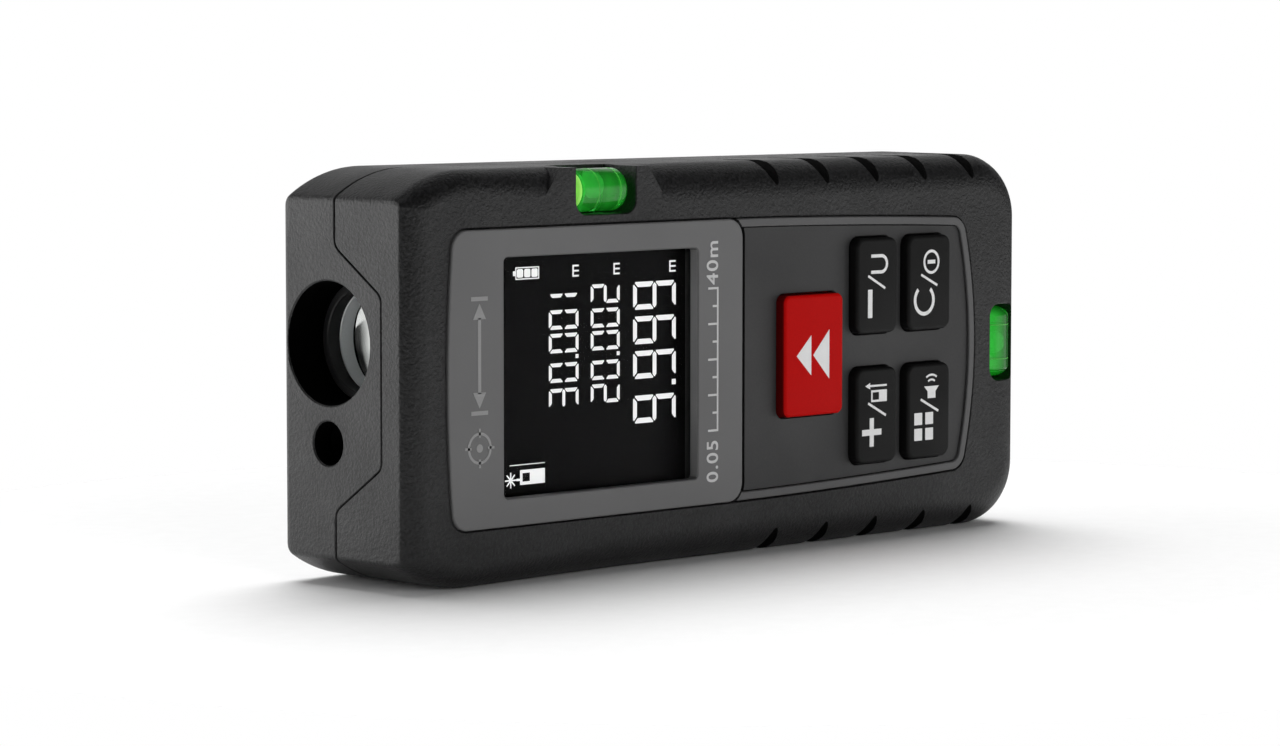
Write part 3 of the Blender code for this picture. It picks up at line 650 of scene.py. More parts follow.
def groove_tools():
    cutter = groove_cutter()
    tools = run_tree("groove_tools", row_tree(), {
        "Piece": cutter, "Count": GROOVES["count"], "Pitch": GROOVES["pitch"] * MM,
        "Start": at(GROOVES["first"], 0, 0), "Material": HOUSING})
    bpy.data.objects.remove(cutter, do_unlink=True)
    print("groove cutters:", len(tools.data.polygons), "faces")
    return tools


# %% [markdown]
# ## Front shell
# The front shell carries the display, the keypad and the spirit levels. It is cut in the order in
# which a mould is thought out: the hollow first, then the bosses and pockets' cases, then every
# opening. Each opening's cutter flares at the surface, which eases the edge that a finger feels.

# %% Recess outlines
bezel = extent("display_bezel")
BEZEL_HALF, BEZEL_CORNER, BEZEL_BOW = bezel.top, 2.4, 0.9
KEYPAD_START = bezel.end + GAP
KEYPAD_SIDE = (BEZEL_HALF, 16.9, 96.9)          # half widths at start and corner, and the corner's place
KEYPAD_CORNER, KEYPAD_BOW = 2.6, 60.0           # corner radius, and the bowed end's radius


def bezel_outline(margin=0.0):
    """The bezel (along, high): its laser-end edge is bowed and its corners are round."""
    start, half, radius = bezel.start - margin, BEZEL_HALF + margin, BEZEL_CORNER + margin
    lean = math.atan(2 * BEZEL_BOW * (half - radius) / half ** 2)
    touch = half - radius + radius * math.sin(lean)
    centre = (start + BEZEL_BOW * (touch / half) ** 2 + radius * math.cos(lean), half - radius)
    points = arc((bezel.end - BEZEL_CORNER, half - radius), radius, 0, 90, 10)
    points += arc(centre, radius, 90, 180 - math.degrees(lean), 10)
    bow = [touch * (1 - i / 8) for i in range(1, 8)]
    points += [(start + BEZEL_BOW * (high / half) ** 2, high) for high in bow]
    return points + [(start, 0.0)] + [(x, -y) for x, y in reversed(points)]


def keypad_half(margin):
    """Upper half of the keypad field's edge, from the bezel round to the centre line."""
    wide, narrow, turn_at = KEYPAD_SIDE
    length = turn_at - KEYPAD_START
    half = [(KEYPAD_START - 2.2, wide + margin)]
    for i in range(14):
        along = KEYPAD_START + length * i / 14
        half.append((along, wide - (wide - narrow) * ((along - KEYPAD_START) / length) ** 1.6 + margin))
    centre_high = narrow - KEYPAD_CORNER
    bow_angle = math.degrees(math.asin(centre_high / (KEYPAD_BOW - KEYPAD_CORNER)))
    bow_centre = turn_at - (KEYPAD_BOW - KEYPAD_CORNER) * math.cos(math.radians(bow_angle))
    half += arc((turn_at, centre_high), KEYPAD_CORNER + margin, 90, bow_angle, 10)
    half += arc((bow_centre, 0.0), KEYPAD_BOW + margin, bow_angle, 0, 10)[1:]
    return half


def keypad_outline(margin=0.0):
    return mirrored(keypad_half(margin))


def bezel_clearance(gap):
    """Cutter that keeps a piece this far off the bezel, so that a dark line runs round it."""
    return plate("clearance", lambda m: bezel_outline(gap), [(-2.0, 0.0), (3.0, 0.0)])


# %% Pockets for the spirit levels
side_vial = extent("side_vial")
end_vial = extent("end_vial")
VIAL_R = (side_vial.far - side_vial.near) / 2
SIDE_AXIS = ((side_vial.near + side_vial.far) / 2, (side_vial.low + side_vial.top) / 2)    # depth, high
END_AXIS = ((end_vial.near + end_vial.far) / 2, (end_vial.start + end_vial.end) / 2)       # depth, along
EASE = 0.13                                     # flare of a cutter where it meets the surface


def sunk(name, outline, floor, ease=EASE):
    """A cutter from above the display face down to a floor, flaring at the face."""
    return plate(name, outline, [(-2.0, 2.0 * 0.7 + ease), (0.0, ease), (ease, 0.0), (floor, 0.0)])


def side_pocket():
    room = VIAL_R + 0.22
    box = (side_vial.start - 0.22, side_vial.end + 0.22, SIDE_AXIS[1] - room, WIDTH / 2 + 4)
    return sunk("side_pocket", lambda margin: rounded_box(box, 1.7, margin), SIDE_AXIS[0] + room)


def end_pocket():
    room = VIAL_R + 0.22
    box = (END_AXIS[1] - room, END_AXIS[1] + room, end_vial.low - 0.25, end_vial.top + 0.25)
    return sunk("end_pocket", lambda margin: rounded_box(box, 1.7, margin), SIDE_AXIS[0] + room)


def box_piece(name, low, high):
    """A plain block between two corners, for bosses and cutters."""
    outline = [(low[0], low[2]), (high[0], low[2]), (high[0], high[2]), (low[0], high[2])]
    return loft(name, [[(x, depth, y) for x, y in outline] for depth in (low[1], high[1])])


def post(name, place, start, end, radius, steps=32):
    """A round boss or bore that runs into the depth at (along, high)."""
    return turned(name, [(0, 0), (radius, 0), (radius, end - start), (0, end - start)],
                  (place[0], start, place[1]), "depth", steps=steps)


# %% Front shell
screws = [extent(f"housing_screw_{i}") for i in (1, 2, 3, 4)]
SCREWS = [((s.start + s.end) / 2, (s.low + s.top) / 2) for s in screws]
board_screws = [extent(f"board_screw_{i}") for i in (1, 2)]
BOARD_SCREWS = [((s.start + s.end) / 2, (s.low + s.top) / 2) for s in board_screws]
FACE_WALL, SIDE_WALL, BACK_WALL = 2.6, 2.2, 1.5
PAD = [(22.3, 19.0), (22.3, 21.8), (24.8, 24.9), (39.6, 24.9), (42.0, 21.7), (42.0, 19.0)]
FRONT_LEVELS = [(0, 0), (0.03, 0), (0.1, 0), (0.22, 0), (0.4, 0), (0.62, 0), (0.9, 0), (1.2, 0), (1.42, 0),
                (1.54, 0), (1.66, 0), (1.85, 0), (2.2, 0), (2.6, 0), (3.0, 0), (3.4, 0), (3.8, 0), (4.2, 0),
                (4.8, 0), (6.0, 0), (9.0, 0), (SEAM - 0.22, 0), (SEAM - 0.08, 0.12)]


# The faces this picks take the grooves' painted shade.
def in_groove(along, depth, high, normal):
    """Whether a face lies in a grip groove: near its middle and below the shoulder's surface."""
    number = min(max(round((along - GROOVES["first"]) / GROOVES["pitch"]), 0), GROOVES["count"] - 1)
    beside = abs(along - GROOVES["first"] - number * GROOVES["pitch"])
    surface = WIDTH / 2 - quarter_fall(max(depth, 0.0), shoulder_radius(along))
    return beside < 1.4 and 21.0 < abs(high) < surface - 0.06


def front_housing():
    shell = loft("front_shell", shell_rings(FRONT_LEVELS), HOUSING)
    combine(shell, [loft("hollow", inner_rings((FACE_WALL, SEAM + 2), SIDE_WALL))])
    bosses = [loft("pad", [[(x, depth, y) for x, y in PAD] for depth in (0.015, 4.5)]),
              box_piece("side_case", (26.2, 1.0, 17.9), (38.7, 7.2, 24.0)),
              box_piece("end_case", (103.4, 2.3, -6.6), (110.8, 6.9, 6.0))]
    bosses += [post("post", place, 2.0, SEAM - GAP / 2, 2.8) for place in SCREWS]
    bosses += [post("board_post", place, 2.0, 5.3, 2.2) for place in BOARD_SCREWS]
    combine(shell, bosses, "UNION")
    window = (13.6, 49.7, -15.9, 15.9)
    keys = (61.5, 97.0, -15.6, 15.6)
    cutters = [side_pocket(), end_pocket(), groove_tools(),
               sunk("bezel_recess", lambda m: bezel_outline(m + 0.14), 1.4),
               sunk("keypad_recess", lambda m: keypad_outline(m + 0.12), 1.7),
               plate("display_opening", lambda m: rounded_box(window, 0.5), [(1.0, 0), (3.2, 0)]),
               plate("keypad_opening", lambda m: rounded_box(keys, 0.5), [(1.2, 0), (3.2, 0)]),
               tongue_solid("notch", [(-1.0, 1.2), (0.0, 0.2), (0.12, 0.1), (TONGUE_THICK + 0.3, 0.1)],
                            SEAM + 2)]
    cutters += [post("screw_bore", place, 5.5, 14.5, 1.45) for place in SCREWS]
    cutters += [post("board_bore", place, 3.2, 6.2, 1.15) for place in BOARD_SCREWS]
    combine(shell, cutters)
    eased(shell)
    # The faces in the grip grooves get the painted shade.
    return dress(shell, GROOVE_PAINTED_SHADE, in_groove)


def ride_as(piece, body, slot, *replaced):
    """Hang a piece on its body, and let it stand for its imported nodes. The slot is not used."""
    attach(piece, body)
    if replaced:
        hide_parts(*replaced)
    return piece


front = ride_as(front_housing(), "meter", "housing_black", "front_housing")
print("front shell:", len(front.data.polygons), "faces")

# %% [markdown]
# ## Rear shell
# The rear shell carries the bores, the screws and the battery bay. The two bores are given their
# own dull black, because inside a real meter they are painted or grooved to kill stray light. The
# faces are picked out by their place after the cuts, which is simpler than a second shell, and
# only near the laser end, so that nothing on the far wall is picked with them.

# %% Rear shell
receiver = extent("receiver_lens")
RECEIVER = ((receiver.near + receiver.far) / 2, (receiver.low + receiver.top) / 2)     # depth, high
barrel = extent("laser_barrel")
LASER = ((barrel.near + barrel.far) / 2, (barrel.low + barrel.top) / 2)
RECEIVER_R, TUBE_R, TUBE_END, LASER_R = 7.47, 8.3, 13.0, 2.66
bay_far = extent("bridge_contact")
bay_near = extent("positive_contact")
BAY = (bay_near.start - GAP, bay_far.end + GAP, 10.3, 11.2)    # start, end, floor depth, half width
cover = extent("battery_cover")
COVER_BOX = (cover.start, cover.end, cover.low, cover.top)
HEAD_SEAT = 18.0                                # depth at which a screw's head sits
BACK_ROUND = 1.5


def rear_rings():
    rings = [body_ring(SEAM + 0.08, lambda along: 0.12, 0.12), body_ring(SEAM + 0.22, lambda along: 0.0, 0.0)]
    rings += [body_ring(depth, lambda along: 0.0, 0.0) for depth in (15.0, 17.0, 19.0)]
    for i in range(9):
        angle = math.radians(90 * i / 8)
        inset = BACK_ROUND * (1 - math.cos(angle))
        rings.append(body_ring(BACK - BACK_ROUND + BACK_ROUND * math.sin(angle), lambda along: inset,
                               inset * 0.5))
    return rings


def bore(name, place, radius, length):
    """A round cutter into the laser end, flaring at the face."""
    profile = [(0, -1), (radius + 1, -1), (radius + 0.18, -0.18 + 0.18), (radius, 0.18), (radius, length),
               (0, length)]
    return turned(name, profile, (0, *place), "along", steps=96)


def rear_housing():
    shell = loft("rear_shell", rear_rings(), HOUSING)
    combine(shell, [loft("hollow", inner_rings((SEAM - 2, BACK - BACK_WALL), 1.8))])
    joined = [tongue_solid("tongue", [(0.0, -0.14), (0.12, -0.04), (TONGUE_THICK, -0.04)], BACK - 1.0),
              turned("tube", [(0, 0), (TUBE_R, 0), (TUBE_R, TUBE_END - 1), (0, TUBE_END - 1)],
                     (1.0, *RECEIVER), "along", steps=64),
              box_piece("bay_case", (BAY[0] - 1.0, BAY[2] - 1.0, -13.8), (BAY[1] + 1.2, BACK - 0.6, 13.8))]
    joined += [post("post", place, SEAM + GAP / 2, SEAM + 9, 3.4) for place in SCREWS]
    combine(shell, joined, "UNION")
    cutters = [bore("receiver_bore", RECEIVER, RECEIVER_R, TUBE_END + 2),
               bore("laser_bore", LASER, LASER_R, 3.5),
               box_piece("bay", (BAY[0], BAY[2], -BAY[3]), (BAY[1], BACK + 1, BAY[3])),
               plate("cover_room", lambda m: rounded_box(COVER_BOX, 1.4, m),
                     [(BACK - 1.6, 0.22), (BACK - 0.12, 0.22), (BACK, 0.34), (BACK + 1, 1.3)])]
    mouth = BACK - HEAD_SEAT
    head_room = [(0, 0), (2.6, 0), (2.6, mouth - 0.12), (2.72, mouth), (3.7, mouth + 1), (0, mouth + 1)]
    for place in SCREWS:
        cutters.append(turned("head_room", head_room, (place[0], HEAD_SEAT, place[1]), "depth", steps=48))
        cutters.append(post("screw_bore", place, SEAM - 1, SEAM + 5, 1.45))
    combine(shell, cutters)
    eased(shell)
    bores = ((RECEIVER, RECEIVER_R + 0.05), (LASER, LASER_R + 0.05))
    return dress(shell, BORE, lambda along, depth, high, normal: 0.2 < along < 40 and any(
        math.dist((depth, high), centre) < radius for centre, radius in bores))


rear = ride_as(rear_housing(), "meter", "housing_black", "rear_housing")
print("rear shell:", len(rear.data.polygons), "faces")

# %% [markdown]
# ## Bezel
# The bezel is a separate grey frame, glued into its recess. On the real one its face is satin and
# its outer edge is a fine round, so a loft steps through three small insets before the flat face.
# The opening is cut afterwards with a flared cutter, whose walls stay visible beside the display.

# %% Bezel
# Painted light: the bezel's grey, made paler for the one wall at the display's far end, which sits in shade.
WALL_PAINTED_LIGHT = grained("bezel_wall", (0.3, 0.3, 0.3), 0.6, 0.2, 0.03, 0.05)
WINDOW = (15.1, 48.15, -14.5, 14.45)            # display opening: start, end, low, top
BEZEL_FACE = bezel.near


def edge_levels(face, back, round_over, steps=5):
    """(depth, margin) steps of a plate whose front edge is rounded over."""
    levels = []
    for i in range(steps + 1):
        angle = math.radians(90 * i / steps)
        levels.append((face + round_over * (1 - math.sin(angle)), -round_over * (1 - math.cos(angle))))
    return [(back, 0.0)] + levels


def make_bezel():
    piece = plate("bezel", bezel_outline, edge_levels(BEZEL_FACE, bezel.far, 0.22), BEZEL)
    opening = plate("opening", lambda m: rounded_box(WINDOW, 0.6, m),
                    [(-1.0, 0.85), (BEZEL_FACE, 0.15), (BEZEL_FACE + 0.15, 0.0), (2.0, 0.0)])
    eased(combine(piece, [opening]))
    # The wall at the display's far end takes the paler grey: painted light.
    return dress(piece, WALL_PAINTED_LIGHT, lambda along, depth, high, normal: (
        normal.x < -0.8 and abs(along - WINDOW[1]) < 0.2))


ride_as(make_bezel(), "meter", "bezel_grey", "display_bezel")
print(f"bezel: {bezel.end - bezel.start:.1f} x {2 * BEZEL_HALF:.1f} mm")

# %% [markdown]
# ## Display
# A clear window lies on the display glass, and the glass on its backlight. The display is a
# negative one: a black field on which the figures are lit. So the glass is almost black with little
# gloss, and the figures are thin tiles on it that give off their own light.

# %% Window, display glass and backlight
LCD_GLASS = grained("display_glass", (0.0042, 0.0042, 0.0045), 0.35, 0.5, 0.05, 0.0, 0.02,
                    Specular_IOR_Level=0.04)
WINDOW_CLEAR = principled("window_clear", (1.0, 1.0, 1.0), 0.04, Transmission_Weight=1.0, IOR=1.03)
LIT = principled("lit_segment", (0.45, 0.45, 0.45), 0.6, Specular_IOR_Level=0.0,
                 Emission_Color=(0.95, 0.96, 0.96, 1.0), Emission_Strength=0.66)


def tile(name, node_name, radius, round_over, finish, body, slot):
    """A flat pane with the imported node's own size, round corners and a rounded front edge."""
    e = extent(node_name)
    piece = plate(name, lambda m: rounded_box((e.start, e.end, e.low, e.top), radius, m),
                  edge_levels(e.near, e.far, round_over), finish)
    return ride_as(piece, body, slot, node_name)


def faint_haze(material, scale=220.0, least=0.03, most=0.08):
    """Vary a clear surface's roughness with broad noise, as wiping leaves it."""
    tree = material.node_tree
    place = node(tree, "ShaderNodeTexCoord").outputs["Object"]
    noise = node(tree, "ShaderNodeTexNoise", {"Vector": place, "Scale": scale, "Detail": 2.0})
    spread = node(tree, "ShaderNodeMapRange", {"Value": noise.outputs["Fac"], "To Min": least,
                  "To Max": most})
    tree.links.new(spread.outputs["Result"], tree.nodes["Principled BSDF"].inputs["Roughness"])
    return material


faint_haze(WINDOW_CLEAR)
faint_haze(LIT, 900.0, 0.5, 0.7)
tile("display_window_pane", "display_window", 0.8, 0.12, WINDOW_CLEAR, "meter", "clear")
tile("display_glass_pane", "lcd_panel", 0.4, 0.1, LCD_GLASS, "meter", "lcd_black")
LCD_FACE = extent("lcd_panel").near
BORDER = grained("display_border", (0.06, 0.06, 0.06), 0.6, 0.2, 0.03, 0.05)
print(f"display face {LCD_FACE - BEZEL_FACE:.2f} mm behind the bezel's")

# %% [markdown]
# ## Figures on the display
# Each figure has up to seven bars. Text reads upwards along the meter, so its right is the meter's
# height and its top faces the laser end. The bars are a rule and not a drawing: one point for each
# bar holds its place, turn and kind, and Geometry Nodes puts a mitred trapezium on each point.

# %% Seven-bar figures as points
BARS = {"0": "abcdef", "1": "12", "2": "abged", "3": "abgcd", "9": "abcdfg"}
# bar: place in half widths and half heights, quarter turns, and kind (0 upright, 1 crossbar, 2 middle)
BAR_PLACES = {"a": (0, 1, 1, 1), "b": (1, 0.5, 0, 0), "c": (1, -0.5, 0, 0), "d": (0, -1, 3, 1),
              "e": (-1, -0.5, 2, 0), "f": (-1, 0.5, 2, 0), "g": (0, 0, 1, 2), "1": (0, 0.5, 0, 0),
              "2": (0, -0.5, 0, 0)}
Row = namedtuple("Row", "text top bottom width stroke centres dot")
CORNER_CUT, BAR_GAP = 0.28, 0.09        # share of a stroke cut off each corner, and mm between bars
ROWS = [Row("30001", 24.92, 29.9, 2.36, 0.46, (-3.23, -0.11, 3.49, 6.36, 9.29), 1.78),
        Row("20002", 32.0, 36.95, 2.36, 0.46, (-3.06, -0.16, 3.48, 6.26, 9.23), 1.75),
        Row("9999", 39.3, 46.78, 3.45, 0.64, (-5.44, 0.1, 4.4, 8.69), -2.32)]


def bar_points(row):
    """A mesh of one vertex for each bar, with its turn and kind as attributes."""
    half_wide, half_tall = (row.width - row.stroke) / 2, (row.bottom - row.top - row.stroke) / 2
    beside = (BAR_GAP + (row.bottom - row.top) / 2 - CORNER_CUT * row.stroke) / 2     # an upright's middle
    middle = (row.top + row.bottom) / 2
    places, turns, kinds = [], [], []
    for figure, centre in zip(row.text, row.centres):
        for bar in BARS[figure]:
            across, up, turn, kind = BAR_PLACES[bar]
            rise = up * half_tall if kind else 2 * up * beside
            places.append(at(middle - rise, LCD_FACE, centre + across * half_wide))
            turns.append(-math.pi / 2 * turn)
            kinds.append(kind)
    mesh = bpy.data.meshes.new("bar_points")
    mesh.from_pydata(places, [], [])
    mesh.attributes.new("turn", "FLOAT", "POINT").data.foreach_set("value", turns)
    mesh.attributes.new("kind", "INT", "POINT").data.foreach_set("value", kinds)
    return mesh


# %% Tree that puts a bar on each point
def tile_from(tree, curve, thick):
    """Fill a closed curve, give it a thickness, and stand it up so that it faces the reader."""
    filled = node(tree, "GeometryNodeFillCurve", {"Curve": curve}, mode="NGONS")
    raised = node(tree, "GeometryNodeExtrudeMesh", {"Mesh": filled.outputs[0], "Offset Scale": thick})
    under = node(tree, "GeometryNodeFlipFaces", {"Mesh": filled.outputs[0]})
    both = node(tree, "GeometryNodeJoinGeometry", {0: raised.outputs[0]})
    tree.links.new(under.outputs[0], both.inputs[0])
    return node(tree, "GeometryNodeTransform", {"Geometry": both.outputs[0],
                "Rotation": (math.pi / 2, 0.0, 0.0)}).outputs[0]


def bar_curve(tree, length, stroke, middle):
    """An outer bar is a trapezium mitred at 45 degrees, and the middle one is pointed at both ends."""
    if middle:
        box = node(tree, "GeometryNodeCurvePrimitiveQuadrilateral", {"Width": length, "Height": stroke})
        point = node(tree, "ShaderNodeMath", {0: stroke, 1: 0.46}, operation="MULTIPLY")
        return node(tree, "GeometryNodeFilletCurve", {"Curve": box.outputs[0], "Count": 1,
                    "Radius": point.outputs[0]}, mode="POLY").outputs[0]
    short = node(tree, "ShaderNodeMath", {0: stroke, 1: -2.0, 2: length}, operation="MULTIPLY_ADD")
    bar = node(tree, "GeometryNodeCurvePrimitiveQuadrilateral", {"Bottom Width": short.outputs[0],
               "Top Width": length, "Height": stroke, "Offset": 0.0}, mode="TRAPEZOID")
    cut = node(tree, "ShaderNodeMath", {0: stroke, 1: 0.14}, operation="MULTIPLY")
    return node(tree, "GeometryNodeFilletCurve", {"Curve": bar.outputs[0], "Count": 1,
                "Radius": cut.outputs[0]}, mode="POLY").outputs[0]


def figure_tree():
    tree, given, end = new_tree("seven_bar_figures", {"Upright": "Float", "Crossbar": "Float",
                                "Stroke": "Float", "Thickness": "Float", "Material": "Material"})
    kind, turn = (node(tree, "GeometryNodeInputNamedAttribute", {"Name": name}, data_type=data_type)
                  for name, data_type in (("kind", "INT"), ("turn", "FLOAT")))
    spin = node(tree, "ShaderNodeCombineXYZ", {"Y": turn.outputs["Attribute"]}).outputs[0]
    every = tree.nodes.new("GeometryNodeJoinGeometry")
    for number, length in enumerate((given["Upright"], given["Crossbar"], given["Crossbar"])):
        bar = tile_from(tree, bar_curve(tree, length, given["Stroke"], number == 2), given["Thickness"])
        chosen = node(tree, "FunctionNodeCompare", {2: kind.outputs["Attribute"], 3: number},
                      data_type="INT", operation="EQUAL")
        copies = node(tree, "GeometryNodeInstanceOnPoints", {"Points": given["Geometry"],
                      "Selection": chosen.outputs[0], "Instance": bar, "Rotation": spin})
        tree.links.new(copies.outputs[0], every.inputs[0])
    end_tree(tree, every.outputs[0], given["Material"], end)
    return tree


# %% Figures
FIGURE_THICK = 0.03


def figures(name, row, tree):
    cut_off = CORNER_CUT * row.stroke
    upright = (row.bottom - row.top) / 2 - cut_off - BAR_GAP
    piece = run_tree(name, tree, {
        "Upright": upright * MM, "Crossbar": (row.width - 2 * cut_off) * MM, "Stroke": row.stroke * MM,
        "Thickness": FIGURE_THICK * MM, "Material": LIT}, bar_points(row))
    return ride_as(piece, "meter", "backlight")


seven_bars = figure_tree()
for number, row in enumerate(ROWS):
    made = figures(f"display_figures_{number + 1}", row, seven_bars)
    print(row.text, "has", len(made.data.polygons) // 6, "bars")

# %% [markdown]
# ## Marks
# Printed and lit marks are thin tiles too. A mark is a list of flat outlines, and one helper gives
# all of them a thickness at a depth. Lines, arcs and discs are outlines made from a width, so an
# icon reads as what it is made of.

# %% Helpers for marks
def line(start, end, width):
    """Outline of a straight stroke."""
    a, b = Vector(start), Vector(end)
    side = (b - a).normalized().orthogonal() * width / 2
    return [tuple(a + side), tuple(b + side), tuple(b - side), tuple(a - side)]


def curved(centre, radius, first, last, width, steps=24):
    """Outline of a stroke along an arc."""
    return (arc(centre, radius + width / 2, first, last, steps)
            + arc(centre, radius - width / 2, last, first, steps))


def ring_mark(centre, radius, width):
    return [curved(centre, radius, 0, 180, width), curved(centre, radius, 180, 360, width)]


def disc(centre, radius):
    return arc(centre, radius, 0, 345, 23)


def frame_mark(box, width):
    """Four strips round a box that meet without lying on each other."""
    start, end, low, top = box
    inner_low, inner_top = low + width, top - width
    strips = [(start, end, low, inner_low), (start, end, inner_top, top),
              (start, start + width, inner_low, inner_top), (end - width, end, inner_low, inner_top)]
    return [[(a, c), (b, c), (b, d), (a, d)] for a, b, c, d in strips]


def spark_mark(centre, reach, arms, width):
    """A star of thin arms, drawn as one outline."""
    points = []
    for i in range(2 * arms):
        angle = math.pi * i / arms
        distance = reach if i % 2 == 0 else width
        spread = width * 0.35 / distance if i % 2 == 0 else 0.0
        for turn in (-spread, spread) if spread else (0.0,):
            points.append((centre[0] + distance * math.cos(angle + turn),
                           centre[1] + distance * math.sin(angle + turn)))
    return points


def stamp(name, outlines, depth, finish, body, slot, thick=0.03):
    """Give flat outlines (along, high) a thickness in front of a depth, as one piece."""
    bm = bmesh.new()
    for outline in outlines:
        skin(bm, [[bm.verts.new(at(along, level, high)) for along, high in outline]
                  for level in (depth + 0.01, depth - thick)])
    return ride_as(solid(name, bm, finish), body, slot)


def lettering(name, text, box, depth, finish, slot, thick=0.03):
    """Figures from a font, made a mesh and stretched to a box (start, end, low, top)."""
    curve = bpy.data.curves.new(name, "FONT")
    curve.body = text
    curve.extrude = 0.02
    curve.offset = 0.012
    curve.space_character = 1.12
    source = bpy.data.objects.new(name + "_font", curve)
    scene.collection.objects.link(source)
    bpy.context.view_layer.update()
    mesh = bpy.data.meshes.new_from_object(source.evaluated_get(bpy.context.evaluated_depsgraph_get()))
    bpy.data.objects.remove(source, do_unlink=True)
    bm = bmesh.new()
    bm.from_mesh(mesh)
    lows = [min(vert.co[k] for vert in bm.verts) for k in range(3)]
    spans = [max(vert.co[k] for vert in bm.verts) - lows[k] for k in range(3)]
    start, end, low, top = box
    for vert in bm.verts:
        x, y, z = ((vert.co[k] - lows[k]) / spans[k] for k in range(3))
        vert.co = at(end - (end - start) * y, depth + 0.01 - (thick + 0.01) * z, low + (top - low) * x)
    return ride_as(solid(name, bm, finish), "meter", slot)


# %% Small marks on the display
def soft_box(box, radius=0.05):
    """A filled box with slightly rounded corners."""
    return rounded_box(box, radius, 0.0, 3)


def battery_mark():
    """A cell symbol with its nub towards the laser end, and three bars of charge in it."""
    start, end, low, top = 19.4, 23.3, 11.5, 13.0
    nub = soft_box((19.0, 19.35, 11.95, 12.55), 0.08)
    bars = [soft_box((start + 0.25 + 1.2 * i, start + 1.25 + 1.2 * i, low + 0.24, top - 0.24), 0.2)
            for i in range(3)]
    return frame_mark((start, end, low, top), 0.13) + [nub] + bars


def laser_mark():
    """A spark, its beam, and the meter that it leaves, over a baseline."""
    meter = frame_mark((20.1, 22.1, -13.35, -11.55), 0.38) + [soft_box((22.1, 24.2, -13.35, -11.55))]
    beam = line((19.5, -12.7), (20.1, -12.7), 0.28)
    baseline = line((18.4, -10.9), (24.2, -10.9), 0.1)
    return [spark_mark((18.55, -12.7), 0.95, 8, 0.24), beam, baseline] + meter


def dot_mark(row):
    size = row.stroke * 1.05
    return soft_box((row.bottom - size, row.bottom, row.dot - size / 2, row.dot + size / 2))


def unit_mark(start, end, low, top, width=0.21):
    """A square letter m that reads upwards: a spine and three legs."""
    middle = (low + top) / 2
    legs = [(low, low + width), (middle - width / 2, middle + width / 2), (top - width, top)]
    boxes = [(start, start + width, low, top)] + [(start + width, end, a, b) for a, b in legs]
    return [[(a, c), (b, c), (b, d), (a, d)] for a, b, c, d in boxes]


units = unit_mark(28.9, 29.95, 11.5, 12.95) + unit_mark(35.9, 36.95, 11.5, 12.92)
units += unit_mark(45.65, 46.75, 11.45, 12.88)
stamp("display_marks", battery_mark() + laser_mark() + [dot_mark(row) for row in ROWS] + units,
      LCD_FACE, LIT, "meter", "backlight")
glass = extent("lcd_panel")
side = [(glass.end - 0.85, LCD_FACE - 0.03), (glass.end, extent("display_window").far + 0.02),
        (glass.end, LCD_FACE - 0.03)]
border_rings = [[(along, depth, high) for along, depth in side] for high in (glass.low, glass.top)]
ride_as(loft("display_border", border_rings, BORDER), "meter", "panel_grey")
print("display marks done")

# %% [markdown]
# ## Scale and marks on the bezel
# A printed scale tells how far the meter reaches. Nine ticks at an even pitch, long and short in
# turn, are Geometry Nodes again: whether a tick's number is odd picks its length. On the other side
# of the display there are two plain symbols, a span between two walls and a target.

# %% Printed scale
PRINT = grained("print_pale", (0.6, 0.6, 0.6), 0.6, 0.1, 0.05, 0.05, Specular_IOR_Level=0.2)
PRINT_DIM = grained("print_dim", (0.3, 0.3, 0.3), 0.6, 0.1, 0.05, 0.05, Specular_IOR_Level=0.2)
PRINT_THICK = 0.03


def scale_tree():
    tree, given, end = new_tree("ruler", {"Count": "Int", "Pitch": "Float", "Long": "Float", "Short": "Float",
                                "Stroke": "Float", "Thickness": "Float", "Start": "Vector",
                                "Material": "Material"})
    points = row_points(tree, given, "Z")
    index = tree.nodes.new("GeometryNodeInputIndex").outputs[0]
    odd = node(tree, "ShaderNodeMath", {0: index, 1: 2.0}, operation="MODULO")
    length = node(tree, "ShaderNodeMapRange", {"Value": odd.outputs[0], "To Min": given["Long"],
                  "To Max": given["Short"]})
    size = node(tree, "ShaderNodeCombineXYZ", {"X": length.outputs["Result"], "Y": given["Thickness"],
                "Z": given["Stroke"]})
    cube = node(tree, "GeometryNodeMeshCube", {"Size": (1.0, 1.0, 1.0)})
    tick = node(tree, "GeometryNodeTransform", {"Geometry": cube.outputs[0],
                "Translation": (-0.5, -0.5, 0.0)})
    ticks = node(tree, "GeometryNodeInstanceOnPoints", {"Points": points, "Instance": tick.outputs[0],
                 "Scale": size.outputs[0]})
    last = node(tree, "ShaderNodeMath", {0: given["Count"], 1: -1.0})
    run = node(tree, "ShaderNodeMath", {0: last.outputs[0], 1: given["Pitch"], 2: given["Stroke"]},
               operation="MULTIPLY_ADD")
    spine_size = node(tree, "ShaderNodeCombineXYZ", {"X": given["Stroke"], "Y": given["Thickness"],
                      "Z": run.outputs[0]})
    half = node(tree, "ShaderNodeMath", {0: last.outputs[0], 1: given["Pitch"]}, operation="MULTIPLY")
    half_up = node(tree, "ShaderNodeMath", {0: half.outputs[0], 1: 0.5}, operation="MULTIPLY")
    up = node(tree, "ShaderNodeCombineXYZ", {"Z": half_up.outputs[0]})
    middle = node(tree, "ShaderNodeVectorMath", {0: given["Start"], 1: up.outputs[0]})
    post_cube = node(tree, "GeometryNodeTransform", {"Geometry": cube.outputs[0],
                     "Translation": (0.5, -0.5, 0.0)})
    spine = node(tree, "GeometryNodeTransform", {"Geometry": post_cube.outputs[0],
                 "Translation": middle.outputs[0], "Scale": spine_size.outputs[0]})
    both = node(tree, "GeometryNodeJoinGeometry", {0: ticks.outputs[0]})
    tree.links.new(spine.outputs[0], both.inputs[0])
    end_tree(tree, both.outputs[0], given["Material"], end)
    return tree


